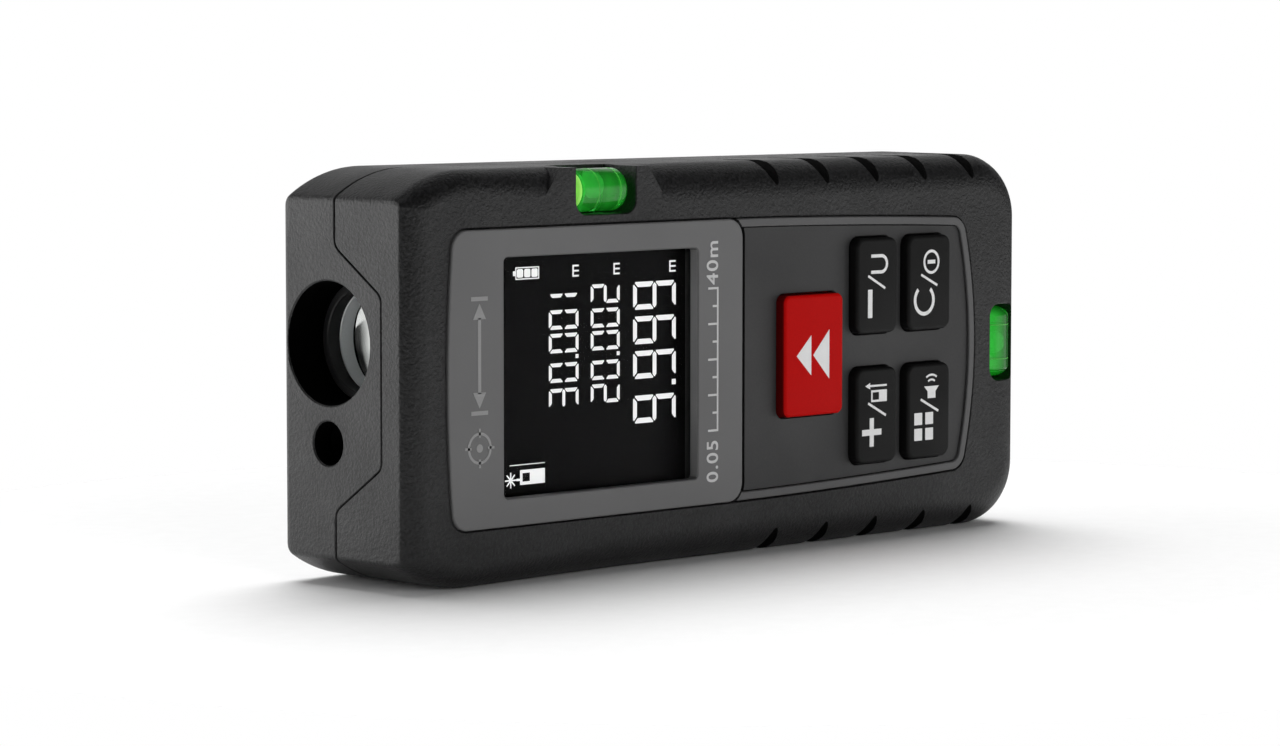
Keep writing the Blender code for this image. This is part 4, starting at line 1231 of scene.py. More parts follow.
SCALE_LINE, SCALE_FIRST = 51.45, -8.58          # the spine's place along, and the lowest tick's height
TICKS = {"Pitch": 2.235, "Long": 1.55, "Short": 0.75, "Stroke": 0.27, "Thickness": PRINT_THICK}    # mm
ruler = run_tree("printed_scale", scale_tree(), {
    **{key: value * MM for key, value in TICKS.items()}, "Count": 9,
    "Start": at(SCALE_LINE, BEZEL_FACE + 0.005, SCALE_FIRST), "Material": PRINT})
ride_as(ruler, "meter", "bezel_grey")
lettering("scale_low_figure", "0.05", (49.65, 51.7, -15.1, -9.9), BEZEL_FACE, PRINT, "bezel_grey")
lettering("scale_high_figure", "40m", (49.6, 51.65, 9.75, 15.2), BEZEL_FACE, PRINT, "bezel_grey")

# %% Span and target symbols
def arrow_head(tip, size, way):
    """A triangle at the end of a stroke along the height; way is +1 or -1."""
    along, high = tip
    return [(along, high), (along - size * 0.55, high - way * size), (along + size * 0.55, high - way * size)]


def span_mark(middle=11.05, low=-3.9, top=9.7, reach=1.35, width=0.5):
    walls = [line((middle - reach, edge), (middle + reach, edge), width) for edge in (low, top)]
    heads = [arrow_head((middle, low + 0.55), 1.9, -1), arrow_head((middle, top - 0.55), 1.9, 1)]
    return walls + heads + [line((middle, low + 2.3), (middle, top - 2.3), width)]


def target_mark(centre=(11.05, -8.1), radius=1.75):
    ticks = [line((centre[0] + math.cos(a) * radius * 0.75, centre[1] + math.sin(a) * radius * 0.75),
                  (centre[0] + math.cos(a) * radius * 1.35, centre[1] + math.sin(a) * radius * 1.35), 0.32)
             for a in (0, math.pi / 2, math.pi, 3 * math.pi / 2)]
    return ring_mark(centre, radius, 0.34) + ticks + [disc(centre, 0.5)]


stamp("span_symbol", span_mark(), BEZEL_FACE, PRINT_DIM, "meter", "bezel_grey")
stamp("target_symbol", target_mark(), BEZEL_FACE, PRINT_DIM, "meter", "bezel_grey")
print("bezel print done")

# %% [markdown]
# ## Keypad field
# A narrow grey rim frames the keys on three sides, open towards the bezel, and a plate with a hole
# for each key lies inside it a little lower. The rim is one closed band: its outer edge and then
# its inner edge backwards, so that a margin thins it from both sides at once.

# %% Rim and plate
RIM_WIDTH = 1.1
PLATE_SINK = 0.3


def rim_outline(margin=0.0):
    outer = keypad_outline(margin)
    inner = keypad_outline(-RIM_WIDTH - margin)
    half = len(outer) // 2 + 1
    upper, lower = outer[:half], outer[half:]
    return upper + lower + list(reversed(inner))


rim = extent("keypad_rim")
rim_piece = plate("keypad_frame", rim_outline, edge_levels(rim.near, rim.far, 0.2), RIM)
eased(combine(rim_piece, [bezel_clearance(0.42)]))
ride_as(rim_piece, "meter", "bezel_grey", "keypad_rim")

BUTTONS = {"measure_button": ("measure_key", KEY_RED, "button_red", 1.0),
           "minus_unit_button": ("minus_key", KEY_BLACK, "button_black", 1.3),
           "clear_power_button": ("clear_key", KEY_BLACK, "button_black", 1.3),
           "plus_reference_button": ("plus_key", KEY_BLACK, "button_black", 1.3),
           "mode_sound_button": ("mode_key", KEY_BLACK, "button_black", 1.3)}
FLANGE = 0.5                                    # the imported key's hidden flange, wider than its face


def face_box(name):
    """Start, end, low and top of a key's face, inside its flange."""
    e = extent(name)
    return e.start + FLANGE, e.end - FLANGE, e.low + FLANGE, e.top - FLANGE


def keypad_plate():
    levels = [(1.4, 0.0), (PLATE_SINK + 0.05, 0.0), (PLATE_SINK, -0.05)]
    piece = plate("keypad_plate", lambda m: keypad_outline(m - RIM_WIDTH - 0.08), levels, PANEL)
    holes = [plate("hole", lambda m, box=face_box(name), r=spec[3]: rounded_box(box, r, m + 0.16),
                   [(-1.0, 1.2), (PLATE_SINK, 0.12), (PLATE_SINK + 0.12, 0.0), (3.0, 0.0)])
             for name, spec in BUTTONS.items()]
    return eased(combine(piece, holes + [bezel_clearance(0.95)]))


ride_as(keypad_plate(), "meter", "panel_grey", "keypad_panel")
print("keypad field done")

# %% [markdown]
# ## Keys
# The keys are moulded rubber. Their tops are flat and a soft round runs down into straight walls.
# The red key's walls are painted a darker red, as painted shade for the gap round them. Behind the
# plate a flange keeps each key in. Each key and its print ride on the key's own body, so that both go
# down when it is pressed.

# %% Keys
# Painted shade: the same red rubber, made darker for the key's walls in the gap.
RED_SIDE_PAINTED_SHADE = grained("key_side_red", (0.13, 0.002, 0.002), 0.6, 0.2, 0.05, 0.15, Specular_IOR_Level=0.05)


def key_cap(name, body, finish, slot, corner):
    e = extent(name)
    box = face_box(name)
    levels = [(e.far, 0.0), (2.5, 0.0), (2.45, FLANGE), (1.8, FLANGE), (1.75, 0.0)]
    levels += edge_levels(e.near, 0.4, 0.5, 7)
    piece = plate(name.replace("_button", "_key_cap"), lambda m: rounded_box(box, corner, m), levels,
                  finish, 50)
    if finish == KEY_RED:
        # The red key's walls take the darker red: painted shade.
        dress(piece, RED_SIDE_PAINTED_SHADE, lambda along, depth, high, normal: normal.y > -0.5)
    return ride_as(piece, body, slot, name)


for name, spec in BUTTONS.items():
    key_cap(name, *spec)
KEY_FACE = extent("measure_button").near
print(f"keys stand {-KEY_FACE:.2f} mm proud")

# %% Print on the keys
PRINT_WHITE = grained("print_white", (0.86, 0.86, 0.86), 0.6, 0.1, 0.03, 0.05, Specular_IOR_Level=0.2)


def slash(start, end):
    return line(start, end, 0.32)


def measure_print():
    """Two arrow heads towards the laser end."""
    return [[(65.38, 0.0), (68.1, 2.57), (68.1, -2.57)], [(68.48, 0.0), (71.5, 3.17), (71.5, -3.17)]]


def minus_unit_print():
    arms = [line((79.5, high), (81.5, high), 0.42) for high in (10.2, 12.3)]
    bowl = curved((81.5, 11.25), 1.05, -90, 90, 0.42)
    return [soft_box((78.9, 79.75, 4.25, 7.95), 0.1), slash((78.93, 9.74), (82.24, 8.04)), bowl] + arms


def clear_power_print():
    clear = curved((89.95, 6.15), 1.83, 50, -230, 0.5)
    power = ring_mark((91.35, 11.15), 1.42, 0.36) + [line((90.6, 11.15), (92.1, 11.15), 0.5)]
    return [clear, slash((89.33, 9.5), (92.54, 8.01))] + power


def plus_reference_print():
    middle, arm, half = (79.75, -10.7), 1.87, 0.4
    corner = [(half, half), (half, arm), (-half, arm), (-half, half), (-arm, half), (-arm, -half)]
    corner += [(-x, -y) for x, y in corner]
    plus = [[(middle[0] + x, middle[1] + y) for x, y in corner]]
    arrow = [[(78.45, -4.63), (79.4, -4.2), (79.4, -5.06)], line((79.4, -4.63), (82.63, -4.63), 0.26)]
    meter = frame_mark((79.6, 81.4, -6.75, -5.2), 0.28) + [soft_box((81.4, 82.65, -6.75, -5.2))]
    return plus + arrow + meter + [slash((79.04, -6.88), (82.47, -8.6))]


def mode_sound_print():
    squares = [soft_box((start, start + 1.55, low, low + 1.6), 0.08)
               for start in (88.12, 90.3) for low in (-12.42, -10.35)]
    speaker = [[(90.06, -5.3), (92.96, -5.3), (92.3, -6.0), (92.3, -6.9), (90.75, -6.9), (90.75, -6.0)]]
    waves = [curved((91.5, -5.6), radius, 55, 125, 0.26) for radius in (1.15, 1.8)]
    return squares + speaker + waves + [slash((89.37, -6.99), (92.89, -8.67))]


PRINTS = {"measure_button": measure_print, "minus_unit_button": minus_unit_print,
          "clear_power_button": clear_power_print, "plus_reference_button": plus_reference_print,
          "mode_sound_button": mode_sound_print}
for name, drawn in PRINTS.items():
    body, _, slot, _ = BUTTONS[name]
    stamp(name.replace("_button", "_print"), drawn(), KEY_FACE, PRINT_WHITE, body, slot)
print("key print done")

# %% [markdown]
# ## Spirit levels
# Each level is a clear green capsule. The side one is closed by a bright plug, and the end one is
# domed at both ends. The liquid has nearly the same refraction as the wall, so one solid stands for
# both, and the bubble is a small pale capsule inside it. Two fine rings mark the middle. The green
# has a painted glow, which stands in for light that has bounced inside a tube this small, because that
# takes long to gather in a render. The plug has a painted glow too, and the bubble a faint painted highlight.

# %% Level finishes
VIAL_GREEN = principled("vial_green", (0.03, 0.36, 0.05), 0.05, Transmission_Weight=0.95, IOR=1.4)
# Painted glow: the plug's emission makes it bright, though it is no lamp.
PLUG_LIME_PAINTED_GLOW = principled("plug_lime", (0.42, 0.9, 0.2), 0.3, Emission_Color=(0.3, 0.9, 0.12, 1.0),
                       Emission_Strength=0.42)
# Painted highlight: the bubble's faint emission stands in for the pale glints on it.
BUBBLE = principled("bubble", (0.7, 0.95, 0.7), 0.08, Transmission_Weight=0.4, IOR=1.2,
                    Emission_Color=(0.5, 0.8, 0.5, 1.0), Emission_Strength=0.04)
RING_INK = grained("ring_ink", (0.08, 0.5, 0.06), 0.5, 0.1, 0.1, 0.05)


def painted_glow_within(material, colour, strength, power):
    """A painted glow where the wall is seen face on, fading towards its outline; it stands in for light
    bounced inside the tube.
    """
    tree = material.node_tree
    edge = node(tree, "ShaderNodeLayerWeight", {"Blend": 0.5}).outputs["Facing"]
    inner = node(tree, "ShaderNodeMath", {0: 1.0, 1: edge}, operation="SUBTRACT")
    shaped = node(tree, "ShaderNodeMath", {0: inner.outputs[0], 1: power}, operation="POWER")
    level = node(tree, "ShaderNodeMath", {0: shaped.outputs[0], 1: strength}, operation="MULTIPLY")
    shader = tree.nodes["Principled BSDF"]
    shader.inputs["Emission Color"].default_value = (*colour, 1.0)
    tree.links.new(level.outputs[0], shader.inputs["Emission Strength"])


# The capsule's green gets the painted glow.
painted_glow_within(VIAL_GREEN, (0.03, 0.36, 0.04), 0.7, 3.0)
for clear, least, most in ((VIAL_GREEN, 0.03, 0.08), (PLUG_LIME_PAINTED_GLOW, 0.25, 0.4), (BUBBLE, 0.02, 0.05)):
    faint_haze(clear, 900.0, least, most)


# %% One level from its packed box
def quarter(radius, rise, steps=10):
    """Profile of a dome that starts at full radius and ends on the axis, as (radius, rise)."""
    return [(radius * math.cos(math.radians(90 * i / steps)), rise * math.sin(math.radians(90 * i / steps)))
            for i in range(steps + 1)]


FLAT_END = 1.3                                  # from the vial's packed end to its flat face, mm


def vial_body(name, start, length, axis, flat):
    """A capsule that is flat at its plug, or domed at both ends."""
    lip = 0.3
    if flat:
        profile = [(0, FLAT_END)] + [(VIAL_R - lip + lip * math.sin(a), FLAT_END + lip - lip * math.cos(a))
                                     for a in [math.radians(15 * i) for i in range(6)]]
    else:
        profile = [(0, 1.0)] + [(r, 1.6 - rise) for r, rise in reversed(quarter(VIAL_R, 1.5)) if rise < 0.6]
    profile += [(r, length - 1.5 + rise) for r, rise in quarter(VIAL_R, 1.5)]
    return turned(name, profile, start, axis, VIAL_GREEN, 64, 50)


def vial_rings(name, start, axis, places):
    """Two fine bands that stand a hair out of the capsule."""
    bm = bmesh.new()
    pieces = []
    for place in places:
        band = [(VIAL_R - 0.03, place - 0.07), (VIAL_R + 0.02, place - 0.05), (VIAL_R + 0.02, place + 0.05),
                (VIAL_R - 0.03, place + 0.07)]
        pieces.append(turned("band", band, start, axis, RING_INK, 64))
    for piece in pieces:
        bm.from_mesh(piece.data)
        bpy.data.objects.remove(piece, do_unlink=True)
    return solid(name, bm, RING_INK)


def bubble_body(name, node_name, axis):
    """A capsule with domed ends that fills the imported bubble's box."""
    e = extent(node_name)
    radius = (e.far - e.near) / 2
    first, last = (e.start, e.end) if axis == "along" else (e.low, e.top)
    centre = {"along": (first, (e.near + e.far) / 2, (e.low + e.top) / 2),
              "high": ((e.start + e.end) / 2, (e.near + e.far) / 2, first)}[axis]
    tip = 1.1
    top = [(r, last - first - tip + rise) for r, rise in quarter(radius, tip)]
    profile = [(r, last - first - d) for r, d in reversed(top)] + top
    return turned(name, profile, centre, axis, BUBBLE, 40, 60)


def plug_profile(flat):
    """A stepped lime plug behind the flat face, or the domed end's own cap."""
    face = FLAT_END - 0.02
    if flat:
        return [(0, 0.05), (1.15, 0.05), (1.3, 0.2), (1.3, face - 0.25), (2.1, face - 0.25),
                (2.3, face - 0.1), (2.3, face), (0, face)]
    dome = [(r, 1.6 - rise) for r, rise in reversed(quarter(VIAL_R, 1.5)) if rise > 0.6]
    return dome + [(dome[-1][0], 0.98), (0, 0.98)]


def spirit_level(prefix, start, length, axis, ring_places, flat):
    vial = vial_body(prefix + "_level_vial", start, length, axis, flat)
    ride_as(vial, "meter", "vial_green", prefix + "_vial")
    ride_as(vial_rings(prefix + "_level_rings", start, axis, ring_places), "meter", "vial_green")
    finish = PLUG_LIME_PAINTED_GLOW if flat else VIAL_GREEN
    plug = turned(prefix + "_level_plug", plug_profile(flat), start, axis, finish)
    ride_as(plug, "meter", "plug_lime", prefix + "_vial_plug")
    air = bubble_body(prefix + "_level_air", prefix + "_bubble", axis)
    ride_as(air, prefix + "_level_bubble", "bubble", prefix + "_bubble")


side_length = side_vial.end - side_vial.start
end_length = end_vial.top - end_vial.low
spirit_level("side", (side_vial.start, *SIDE_AXIS), side_length, "along", (3.9, 7.6), True)
spirit_level("end", (END_AXIS[1], END_AXIS[0], end_vial.low), end_length, "high", (2.6, 7.2), False)
print(f"levels are {side_length:.1f} and {end_length:.1f} mm long")

# %% [markdown]
# ## Optics
# Light comes back through the large hole. The lens sits well down it, behind a black ring and a
# satin one, and throws the light onto the diode. The lens is one turned profile of two sphere caps.
# Its front is clear, its edge is blackened as opticians do, and its coated back shines like a bowl.

# %% Lens and ring
GLASS_FRONT = principled("lens_front", (1.0, 1.0, 1.0), 0.05, Transmission_Weight=1.0, IOR=1.03)
LENS_GLASS = principled("coated_glass", (0.8, 0.82, 0.8), 0.12, Metallic=0.8, IOR=1.5)
RING_SATIN = grained("ring_satin", (0.93, 0.95, 0.96), 0.4, 0.2, 0.03, 0.1, Metallic=0.3)
RING_BLACK = grained("ring_black", (0.012, 0.012, 0.012), 0.45, 0.2, 0.1, 0.15)
faint_haze(GLASS_FRONT, 500.0, 0.03, 0.07)
faint_haze(LENS_GLASS, 500.0, 0.08, 0.14)


def cap_profile(radius, sag, steps=14):
    """(radius, height above the edge) of a sphere cap, from its edge to the axis."""
    sphere = (radius ** 2 + sag ** 2) / (2 * sag)
    radii = [radius * (1 - i / steps) for i in range(steps + 1)]
    return [(r, math.sqrt(sphere ** 2 - r ** 2) - (sphere - sag)) for r in radii]


def receiver_lens():
    """Clear front, blackened edge and coated back: one closed profile with three finishes."""
    radius = (receiver.top - receiver.low) / 2
    bevel, front_sag, back_sag = 0.2, 0.3, 1.9
    back = receiver.end - receiver.start - back_sag
    front_cap = [(r, front_sag - rise) for r, rise in cap_profile(radius - bevel, front_sag)]
    back_cap = [(r, back + rise) for r, rise in cap_profile(radius - bevel, back_sag)]
    profile = list(reversed(front_cap)) + [(radius, front_sag + bevel), (radius, back - bevel)] + back_cap
    lens = turned("receiver_lens_glass", profile, (receiver.start, *RECEIVER), "along", GLASS_FRONT, 96, 40)
    dress(lens, BORE, lambda along, depth, high, normal: -0.5 < normal.x < 0.2)
    return dress(lens, LENS_GLASS, lambda along, depth, high, normal: normal.x > 0.2)


def lens_ring(name, first, last, inner, outer, finish):
    """A ring with broken edges and one turned step in its bore."""
    profile = [(outer, last), (outer, first + 0.15), (outer - 0.15, first), (inner + 0.12, first),
               (inner, first + 0.12), (inner, last - 0.5), (inner + 0.06, last - 0.45), (inner + 0.06, last)]
    return turned(name, profile, (0, *RECEIVER), "along", finish, 96, 25)


retainer = extent("lens_retainer")
ride_as(receiver_lens(), "meter", "lens_glass", "receiver_lens")
ride_as(lens_ring("lens_ring", retainer.start + 0.35, receiver.start + 0.1, 6.3, 7.15, RING_SATIN), "meter",
        "bench_metal", "lens_retainer")
ride_as(lens_ring("lens_shade", retainer.start - 1.65, retainer.start + 0.32, 6.3, 7.3, RING_BLACK), "meter",
        "bench_metal")

# %% Laser barrel
BRASS = grained("brass", (0.5, 0.33, 0.11), 0.3, 0.15, 0.08, 0.1, Metallic=1.0)


def laser_barrel():
    """A turned barrel with a flared mouth and rings cut round it, which shed heat."""
    thick = barrel.end - barrel.start
    outer = (barrel.top - barrel.low) / 2
    profile = [(2.4, thick), (outer, thick), (outer, thick - 2.0), (outer - 0.2, thick - 2.2)]
    for i in range(6):
        profile += [(outer - 0.2, thick - 3.0 - i * 1.6), (outer, thick - 3.2 - i * 1.6),
                    (outer, thick - 4.0 - i * 1.6), (outer - 0.2, thick - 4.2 - i * 1.6)]
    profile += [(outer - 0.2, 0.5), (outer - 0.5, 0.0), (2.35, 0.0), (1.9, 0.8), (2.4, 1.0)]
    return turned("laser_barrel_turned", profile, (barrel.start, *LASER), "along", BORE, 64, 25)


ride_as(laser_barrel(), "meter", "brass", "laser_barrel")
collimator = extent("collimator_lens")
lens_caps = [(r, 0.35 - rise) for r, rise in cap_profile(1.95, 0.35, 8)]
lens_back = [(r, collimator.end - collimator.start - 0.25 + rise) for r, rise in cap_profile(1.95, 0.25, 8)]
ride_as(turned("collimator_glass", list(reversed(lens_caps)) + lens_back, (collimator.start, *LASER), "along",
               LENS_GLASS, 48, 40), "meter", "lens_glass", "collimator_lens")
print(f"lens {receiver.start:.1f} mm down the hole")

# %% [markdown]
# ## Screws
# Four screws pull the shells together from the back, and two hold the board. One screw is turned,
# a cross recess is cut in its head, and Geometry Nodes puts a copy on each place. A turn for each,
# from a seeded random value, keeps the crosses from lining up.

# %% One screw, and its copies
STEEL = grained("zinc_steel", (0.5, 0.5, 0.49), 0.32, 0.12, 0.06, 0.12, Metallic=1.0)


def screw_body(name, head_at, tip_at, shank, head, cap):
    """Pan head with a cross recess, a threaded shank and a point; it is made round the depth axis."""
    pitch, length = 0.6, head_at - tip_at
    profile = [(0, 0), (shank * 0.45, 0.5)]
    turns = int((length - cap - 1.0) / pitch)
    for i in range(turns):
        profile += [(shank, 0.7 + pitch * i), (shank * 0.78, 0.7 + pitch * (i + 0.5))]
    profile += [(shank * 0.85, length - cap), (head - 0.1, length - cap), (head, length - cap + 0.12)]
    profile += [(head * math.cos(a), length - 0.55 * cap + 0.55 * cap * math.sin(a))
                for a in [math.radians(15 * i) for i in range(6)]] + [(0, length)]
    screw = turned(name, profile, (0, tip_at, 0), "depth", STEEL, 28, 35)
    blades = [box_piece("blade", (-x, head_at - 0.9, -y), (x, head_at + 0.5, y))
              for x, y in ((head * 0.55, 0.24), (0.24, head * 0.55))]
    combine(screw, blades)
    screw.data.transform(Matrix.Translation(-at(0, 0, 0)))
    return eased(screw, 35)


def scatter_tree():
    """A copy of one object on every point, each turned about the depth axis by a seeded amount."""
    tree, given, end = new_tree("screws_on_points", {"Piece": "Object", "Seed": "Int",
                                "Material": "Material"})
    piece = node(tree, "GeometryNodeObjectInfo", {"Object": given["Piece"]})
    angle = node(tree, "FunctionNodeRandomValue", {"Min": (0.0, 0.0, 0.0), "Max": (0.0, math.pi, 0.0),
                 "Seed": given["Seed"]}, data_type="FLOAT_VECTOR")
    copies = node(tree, "GeometryNodeInstanceOnPoints", {"Points": given["Geometry"],
                  "Instance": piece.outputs["Geometry"], "Rotation": angle.outputs[0]})
    end_tree(tree, copies.outputs[0], given["Material"], end)
    return tree


def screw_set(name, source, places, seed, tree):
    points = bpy.data.meshes.new(name + "_places")
    points.from_pydata([at(along, 0, high) for along, high in places], [], [])
    made = run_tree(name, tree, {"Piece": source, "Seed": seed, "Material": STEEL}, points)
    bpy.data.objects.remove(source, do_unlink=True)
    return made


screw_tree = scatter_tree()
housing_screw = screw_body("housing_screw", screws[0].far, screws[0].near, 1.1, 2.2, 1.7)
ride_as(screw_set("housing_screw_set", housing_screw, SCREWS, 4, screw_tree), "meter", "steel",
        *[f"housing_screw_{i}" for i in (1, 2, 3, 4)])
print(len(SCREWS), "housing screws")


# %% Board screws
def board_screw_body():
    """The same screw the other way up: its head is towards the back."""
    first = board_screws[0]
    return screw_body("board_screw", first.far, first.near, 0.78, 1.65, 0.9)


ride_as(screw_set("board_screw_set", board_screw_body(), BOARD_SCREWS, 9, screw_tree), "meter", "steel",
        "board_screw_1", "board_screw_2")

# %% [markdown]
# ## Battery cover
# The cover drops into the back and is flush with it. Its thumb recess has ribs for grip. They are
# a plain row, so a tree sets one rod out along a line of points. A triangle cut beside them shows
# which way the cover comes off.

# %% Cover
THUMB = (cover.start + 2.5, cover.start + 8.0, -7.5, 7.5)


def rib_row_tree():
    tree, given, end = new_tree("rib_row", {"Length": "Float", "Radius": "Float", "Count": "Int",
                                "Pitch": "Float", "Start": "Vector", "Material": "Material"})
    points = row_points(tree, given, "X")
    rod = node(tree, "GeometryNodeMeshCylinder", {"Vertices": 16, "Radius": given["Radius"],
               "Depth": given["Length"]})
    ribs = node(tree, "GeometryNodeInstanceOnPoints", {"Points": points, "Instance": rod.outputs["Mesh"]})
    end_tree(tree, ribs.outputs[0], given["Material"], end)
    return tree


def way_off(margin):
    """A triangle that points towards the laser end."""
    tip, foot, half = 72.0 - 1.9 * margin, 76.5 + margin, 4.2 + 1.9 * margin
    return [(tip, 0.0), (foot, half), (foot, -half)]


def battery_cover():
    levels = [(cover.near, 0.0), (BACK - 0.2, 0.0), (BACK - 0.1, -0.03), (BACK, -0.16)]
    piece = plate("battery_cover_moulded", lambda m: rounded_box(COVER_BOX, 1.2, m), levels, HOUSING)
    dish = plate("dish", lambda m: rounded_box(THUMB, 2.4, m),
                 [(BACK + 1, 0.9), (BACK, 0.12), (BACK - 0.12, 0.0), (BACK - 0.75, -0.35)])
    combine(piece, [dish])
    ribs = run_tree("ribs", rib_row_tree(), {
        "Length": 11.5 * MM, "Radius": 0.36 * MM, "Count": 4, "Pitch": 1.15 * MM,
        "Start": at(THUMB[0] + 1.05, BACK - 0.74, 0), "Material": HOUSING})
    triangle = plate("triangle", way_off, [(BACK + 0.2, 0.25), (BACK, 0.05), (BACK - 0.4, -0.05)])
    combine(piece, [triangle])
    combine(piece, [ribs], "UNION")
    return eased(piece)


ride_as(battery_cover(), "cover", "housing_black", "battery_cover")
print("battery cover done")

# %% [markdown]
# ## Cells, contacts and springs
# They show when the cover lifts off. A cell is a steel can in a printed sleeve, so its profile has
# the sleeve's rolled edges and the positive nub, and its finish changes along its length. A spring
# is a spiral swept by Geometry Nodes, whose radius shrinks towards the cell.

# %% Cells
SLEEVE_BLUE, SLEEVE_GOLD = (0.012, 0.05, 0.16), (0.55, 0.36, 0.1)
SLEEVE_SPLIT = 0.73                             # share of a cell's length that is blue


def sleeve(name, body, band, split):
    """A printed sleeve: a band of a second colour beyond a place along the meter, in metres."""
    material = grained(name, body, 0.3, 0.4, 0.04, 0.05, 0.05)
    tree = material.node_tree
    shader = tree.nodes["Principled BSDF"]
    speckled = shader.inputs["Base Color"].links[0].from_socket
    place = node(tree, "ShaderNodeTexCoord").outputs["Object"]
    along = node(tree, "ShaderNodeSeparateXYZ", {"Vector": place}).outputs["X"]
    past = node(tree, "ShaderNodeMath", {0: along, 1: split}, operation="GREATER_THAN")
    mixed = node(tree, "ShaderNodeMix", {0: past.outputs[0], "A": speckled, "B": (*band, 1.0)},
                 data_type="RGBA")
    tree.links.new(mixed.outputs["Result"], shader.inputs["Base Color"])
    return material


def cell(name, node_name, flip):
    e = extent(node_name)
    length, radius = e.end - e.start, (e.top - e.low) / 2
    nub, nub_r, roll = 1.0, 2.6, 0.3
    profile = [(0, 0.12), (radius - 1.1, 0.12), (radius - 0.9, 0), (radius - roll, 0), (radius, roll),
               (radius, length - nub - roll), (radius - roll, length - nub), (radius - 0.9, length - nub),
               (radius - 1.1, length - nub - 0.25), (nub_r + 0.1, length - nub - 0.25),
               (nub_r, length - 0.15), (nub_r - 0.15, length), (0, length)]
    if flip:
        profile = [(r, length - d) for r, d in reversed(profile)]
    colours = (SLEEVE_GOLD, SLEEVE_BLUE) if flip else (SLEEVE_BLUE, SLEEVE_GOLD)
    share = 1 - SLEEVE_SPLIT if flip else SLEEVE_SPLIT
    wrap = sleeve(name + "_sleeve", *colours, at(e.start + length * share, 0, 0).x)
    centre = (e.start, (e.near + e.far) / 2, (e.low + e.top) / 2)
    return ride_as(turned(name, profile, centre, "along", wrap, 48), "meter", "cell_wrap", node_name)


cell("cell_upper", "battery_1", True)
cell("cell_lower", "battery_2", False)


# %% Contacts and springs
def contact(name, node_name):
    """A stamped plate with rounded corners and a soft edge."""
    e = extent(node_name)
    levels = ((e.start, -0.05), (e.start + 0.05, 0.0), (e.end - 0.05, 0.0), (e.end, -0.05))
    rings = [[(along, depth, high) for depth, high in rounded_box((e.near, e.far, e.low, e.top), 0.7, margin)]
             for along, margin in levels]
    return ride_as(loft(name, rings, STEEL), "meter", "steel", node_name)


def spring_tree():
    tree, given, end = new_tree("cone_spring", {"Turns": "Float", "Wide": "Float", "Narrow": "Float",
                                "Rise": "Float", "Wire": "Float", "Turn": "Vector", "Place": "Vector",
                                "Material": "Material"})
    coil = node(tree, "GeometryNodeCurveSpiral", {"Resolution": 32, "Rotations": given["Turns"],
                "Start Radius": given["Wide"], "End Radius": given["Narrow"], "Height": given["Rise"]})
    section = node(tree, "GeometryNodeCurvePrimitiveCircle", {"Resolution": 10, "Radius": given["Wire"]})
    swept = node(tree, "GeometryNodeCurveToMesh", {"Curve": coil.outputs[0],
                 "Profile Curve": section.outputs[0], "Fill Caps": True})
    placed = node(tree, "GeometryNodeTransform", {"Geometry": swept.outputs[0], "Translation": given["Place"],
                  "Rotation": given["Turn"]})
    end_tree(tree, placed.outputs[0], given["Material"], end)
    return tree


coil_tree = spring_tree()
for name, node_name, way in (("spring_upper", "cell_spring_1", -1), ("spring_lower", "cell_spring_2", 1)):
    e = extent(node_name)
    wire = 0.22
    start = e.start + wire if way > 0 else e.end - wire
    made = run_tree(name, coil_tree, {
        "Turns": 2.5, "Wide": ((e.top - e.low) / 2 - wire) * MM, "Narrow": 1.8 * MM,
        "Rise": (e.end - e.start - 2 * wire) * MM, "Wire": wire * MM, "Turn": (0.0, way * math.pi / 2, 0.0),
        "Place": at(start, (e.near + e.far) / 2, (e.low + e.top) / 2), "Material": STEEL})
    ride_as(made, "meter", "steel", node_name)
for name in ("positive", "negative", "bridge"):
    contact(name + "_plate", name + "_contact")
print("battery bay done")

# %% [markdown]
# ## Inside
# The board, chips, bench, diodes, switches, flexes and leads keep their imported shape, which is
# right as it is, and take better finishes: solder resist with copper tracks under it, cast metal,
# amber film, black moulding compound. A node's material slot is all that changes.

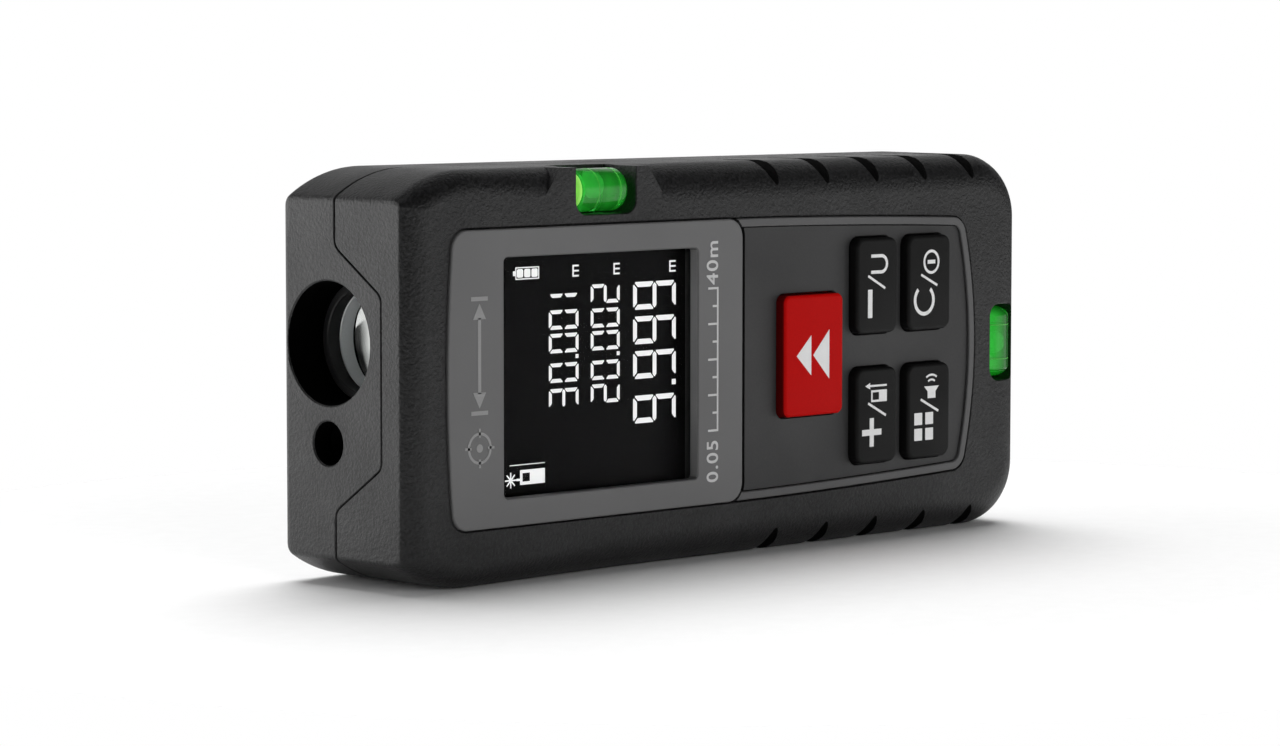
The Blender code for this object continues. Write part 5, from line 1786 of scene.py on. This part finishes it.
# %% Board with tracks
def board_finish():
    """Green solder resist, paler where copper runs under it, with gilt dots on a grid."""
    material = grained("solder_resist", (0.008, 0.075, 0.026), 0.35, 0.2, 0.08, 0.1)
    tree = material.node_tree
    shader = tree.nodes["Principled BSDF"]
    place = node(tree, "ShaderNodeTexCoord").outputs["Object"]
    flat = node(tree, "ShaderNodeMapping", {"Vector": place, "Scale": (420.0, 0.0, 420.0)})
    tracks = node(tree, "ShaderNodeTexBrick", {
        "Vector": flat.outputs[0], "Color1": (0.008, 0.075, 0.026, 1.0), "Color2": (0.012, 0.1, 0.035, 1.0),
        "Mortar": (0.02, 0.16, 0.06, 1.0), "Scale": 1.0, "Mortar Size": 0.09, "Brick Width": 1.7,
        "Row Height": 0.5})
    dots = node(tree, "ShaderNodeTexVoronoi", {"Vector": flat.outputs[0], "Scale": 0.6, "Randomness": 0.35})
    dot = node(tree, "ShaderNodeMath", {0: dots.outputs["Distance"], 1: 0.14}, operation="LESS_THAN")
    mixed = node(tree, "ShaderNodeMix", {0: dot.outputs[0], "A": tracks.outputs["Color"],
                 "B": (0.5, 0.35, 0.12, 1.0)}, data_type="RGBA")
    tree.links.new(mixed.outputs["Result"], shader.inputs["Base Color"])
    return material


# %% Give every carried-over node its finish
CHIP = grained("moulding_compound", (0.014, 0.014, 0.015), 0.55, 0.15, 0.2, 0.2)
CAST = grained("cast_zinc", (0.36, 0.37, 0.38), 0.42, 0.5, 0.12, 0.35, Metallic=1.0)
AMBER = grained("amber_film", (0.33, 0.12, 0.02), 0.3, 0.6, 0.1, 0.05)
DIFFUSER = grained("diffuser_white", (0.8, 0.8, 0.76), 0.45, 0.4, 0.03, 0.1)
WIRE_RED = grained("wire_red", (0.5, 0.02, 0.015), 0.4, 0.3, 0.05, 0.1)
WIRE_BLACK = grained("wire_black", (0.01, 0.01, 0.01), 0.4, 0.3, 0.1, 0.1)
BOARD_GREEN = board_finish()
KEPT = {BOARD_GREEN: ("main_board", "sensor_board"), CAST: ("optical_bench",), DIFFUSER: ("lcd_backlight",),
        CHIP: ("processor_chip", "timing_chip", "buzzer", "switch_measure", "switch_minus", "switch_clear",
               "switch_plus", "switch_mode"),
        AMBER: ("display_flex", "sensor_flex"), LENS_GLASS: ("optical_filter",),
        BRASS: ("photodiode", "laser_diode"), WIRE_RED: ("red_lead",), WIRE_BLACK: ("black_lead",)}
for material, names in KEPT.items():
    for name in names:
        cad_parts[name].material_slots[0].material = material
shown = [name for name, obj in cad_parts.items() if not obj.hide_render]
print("kept as packed:", ", ".join(sorted(shown)))
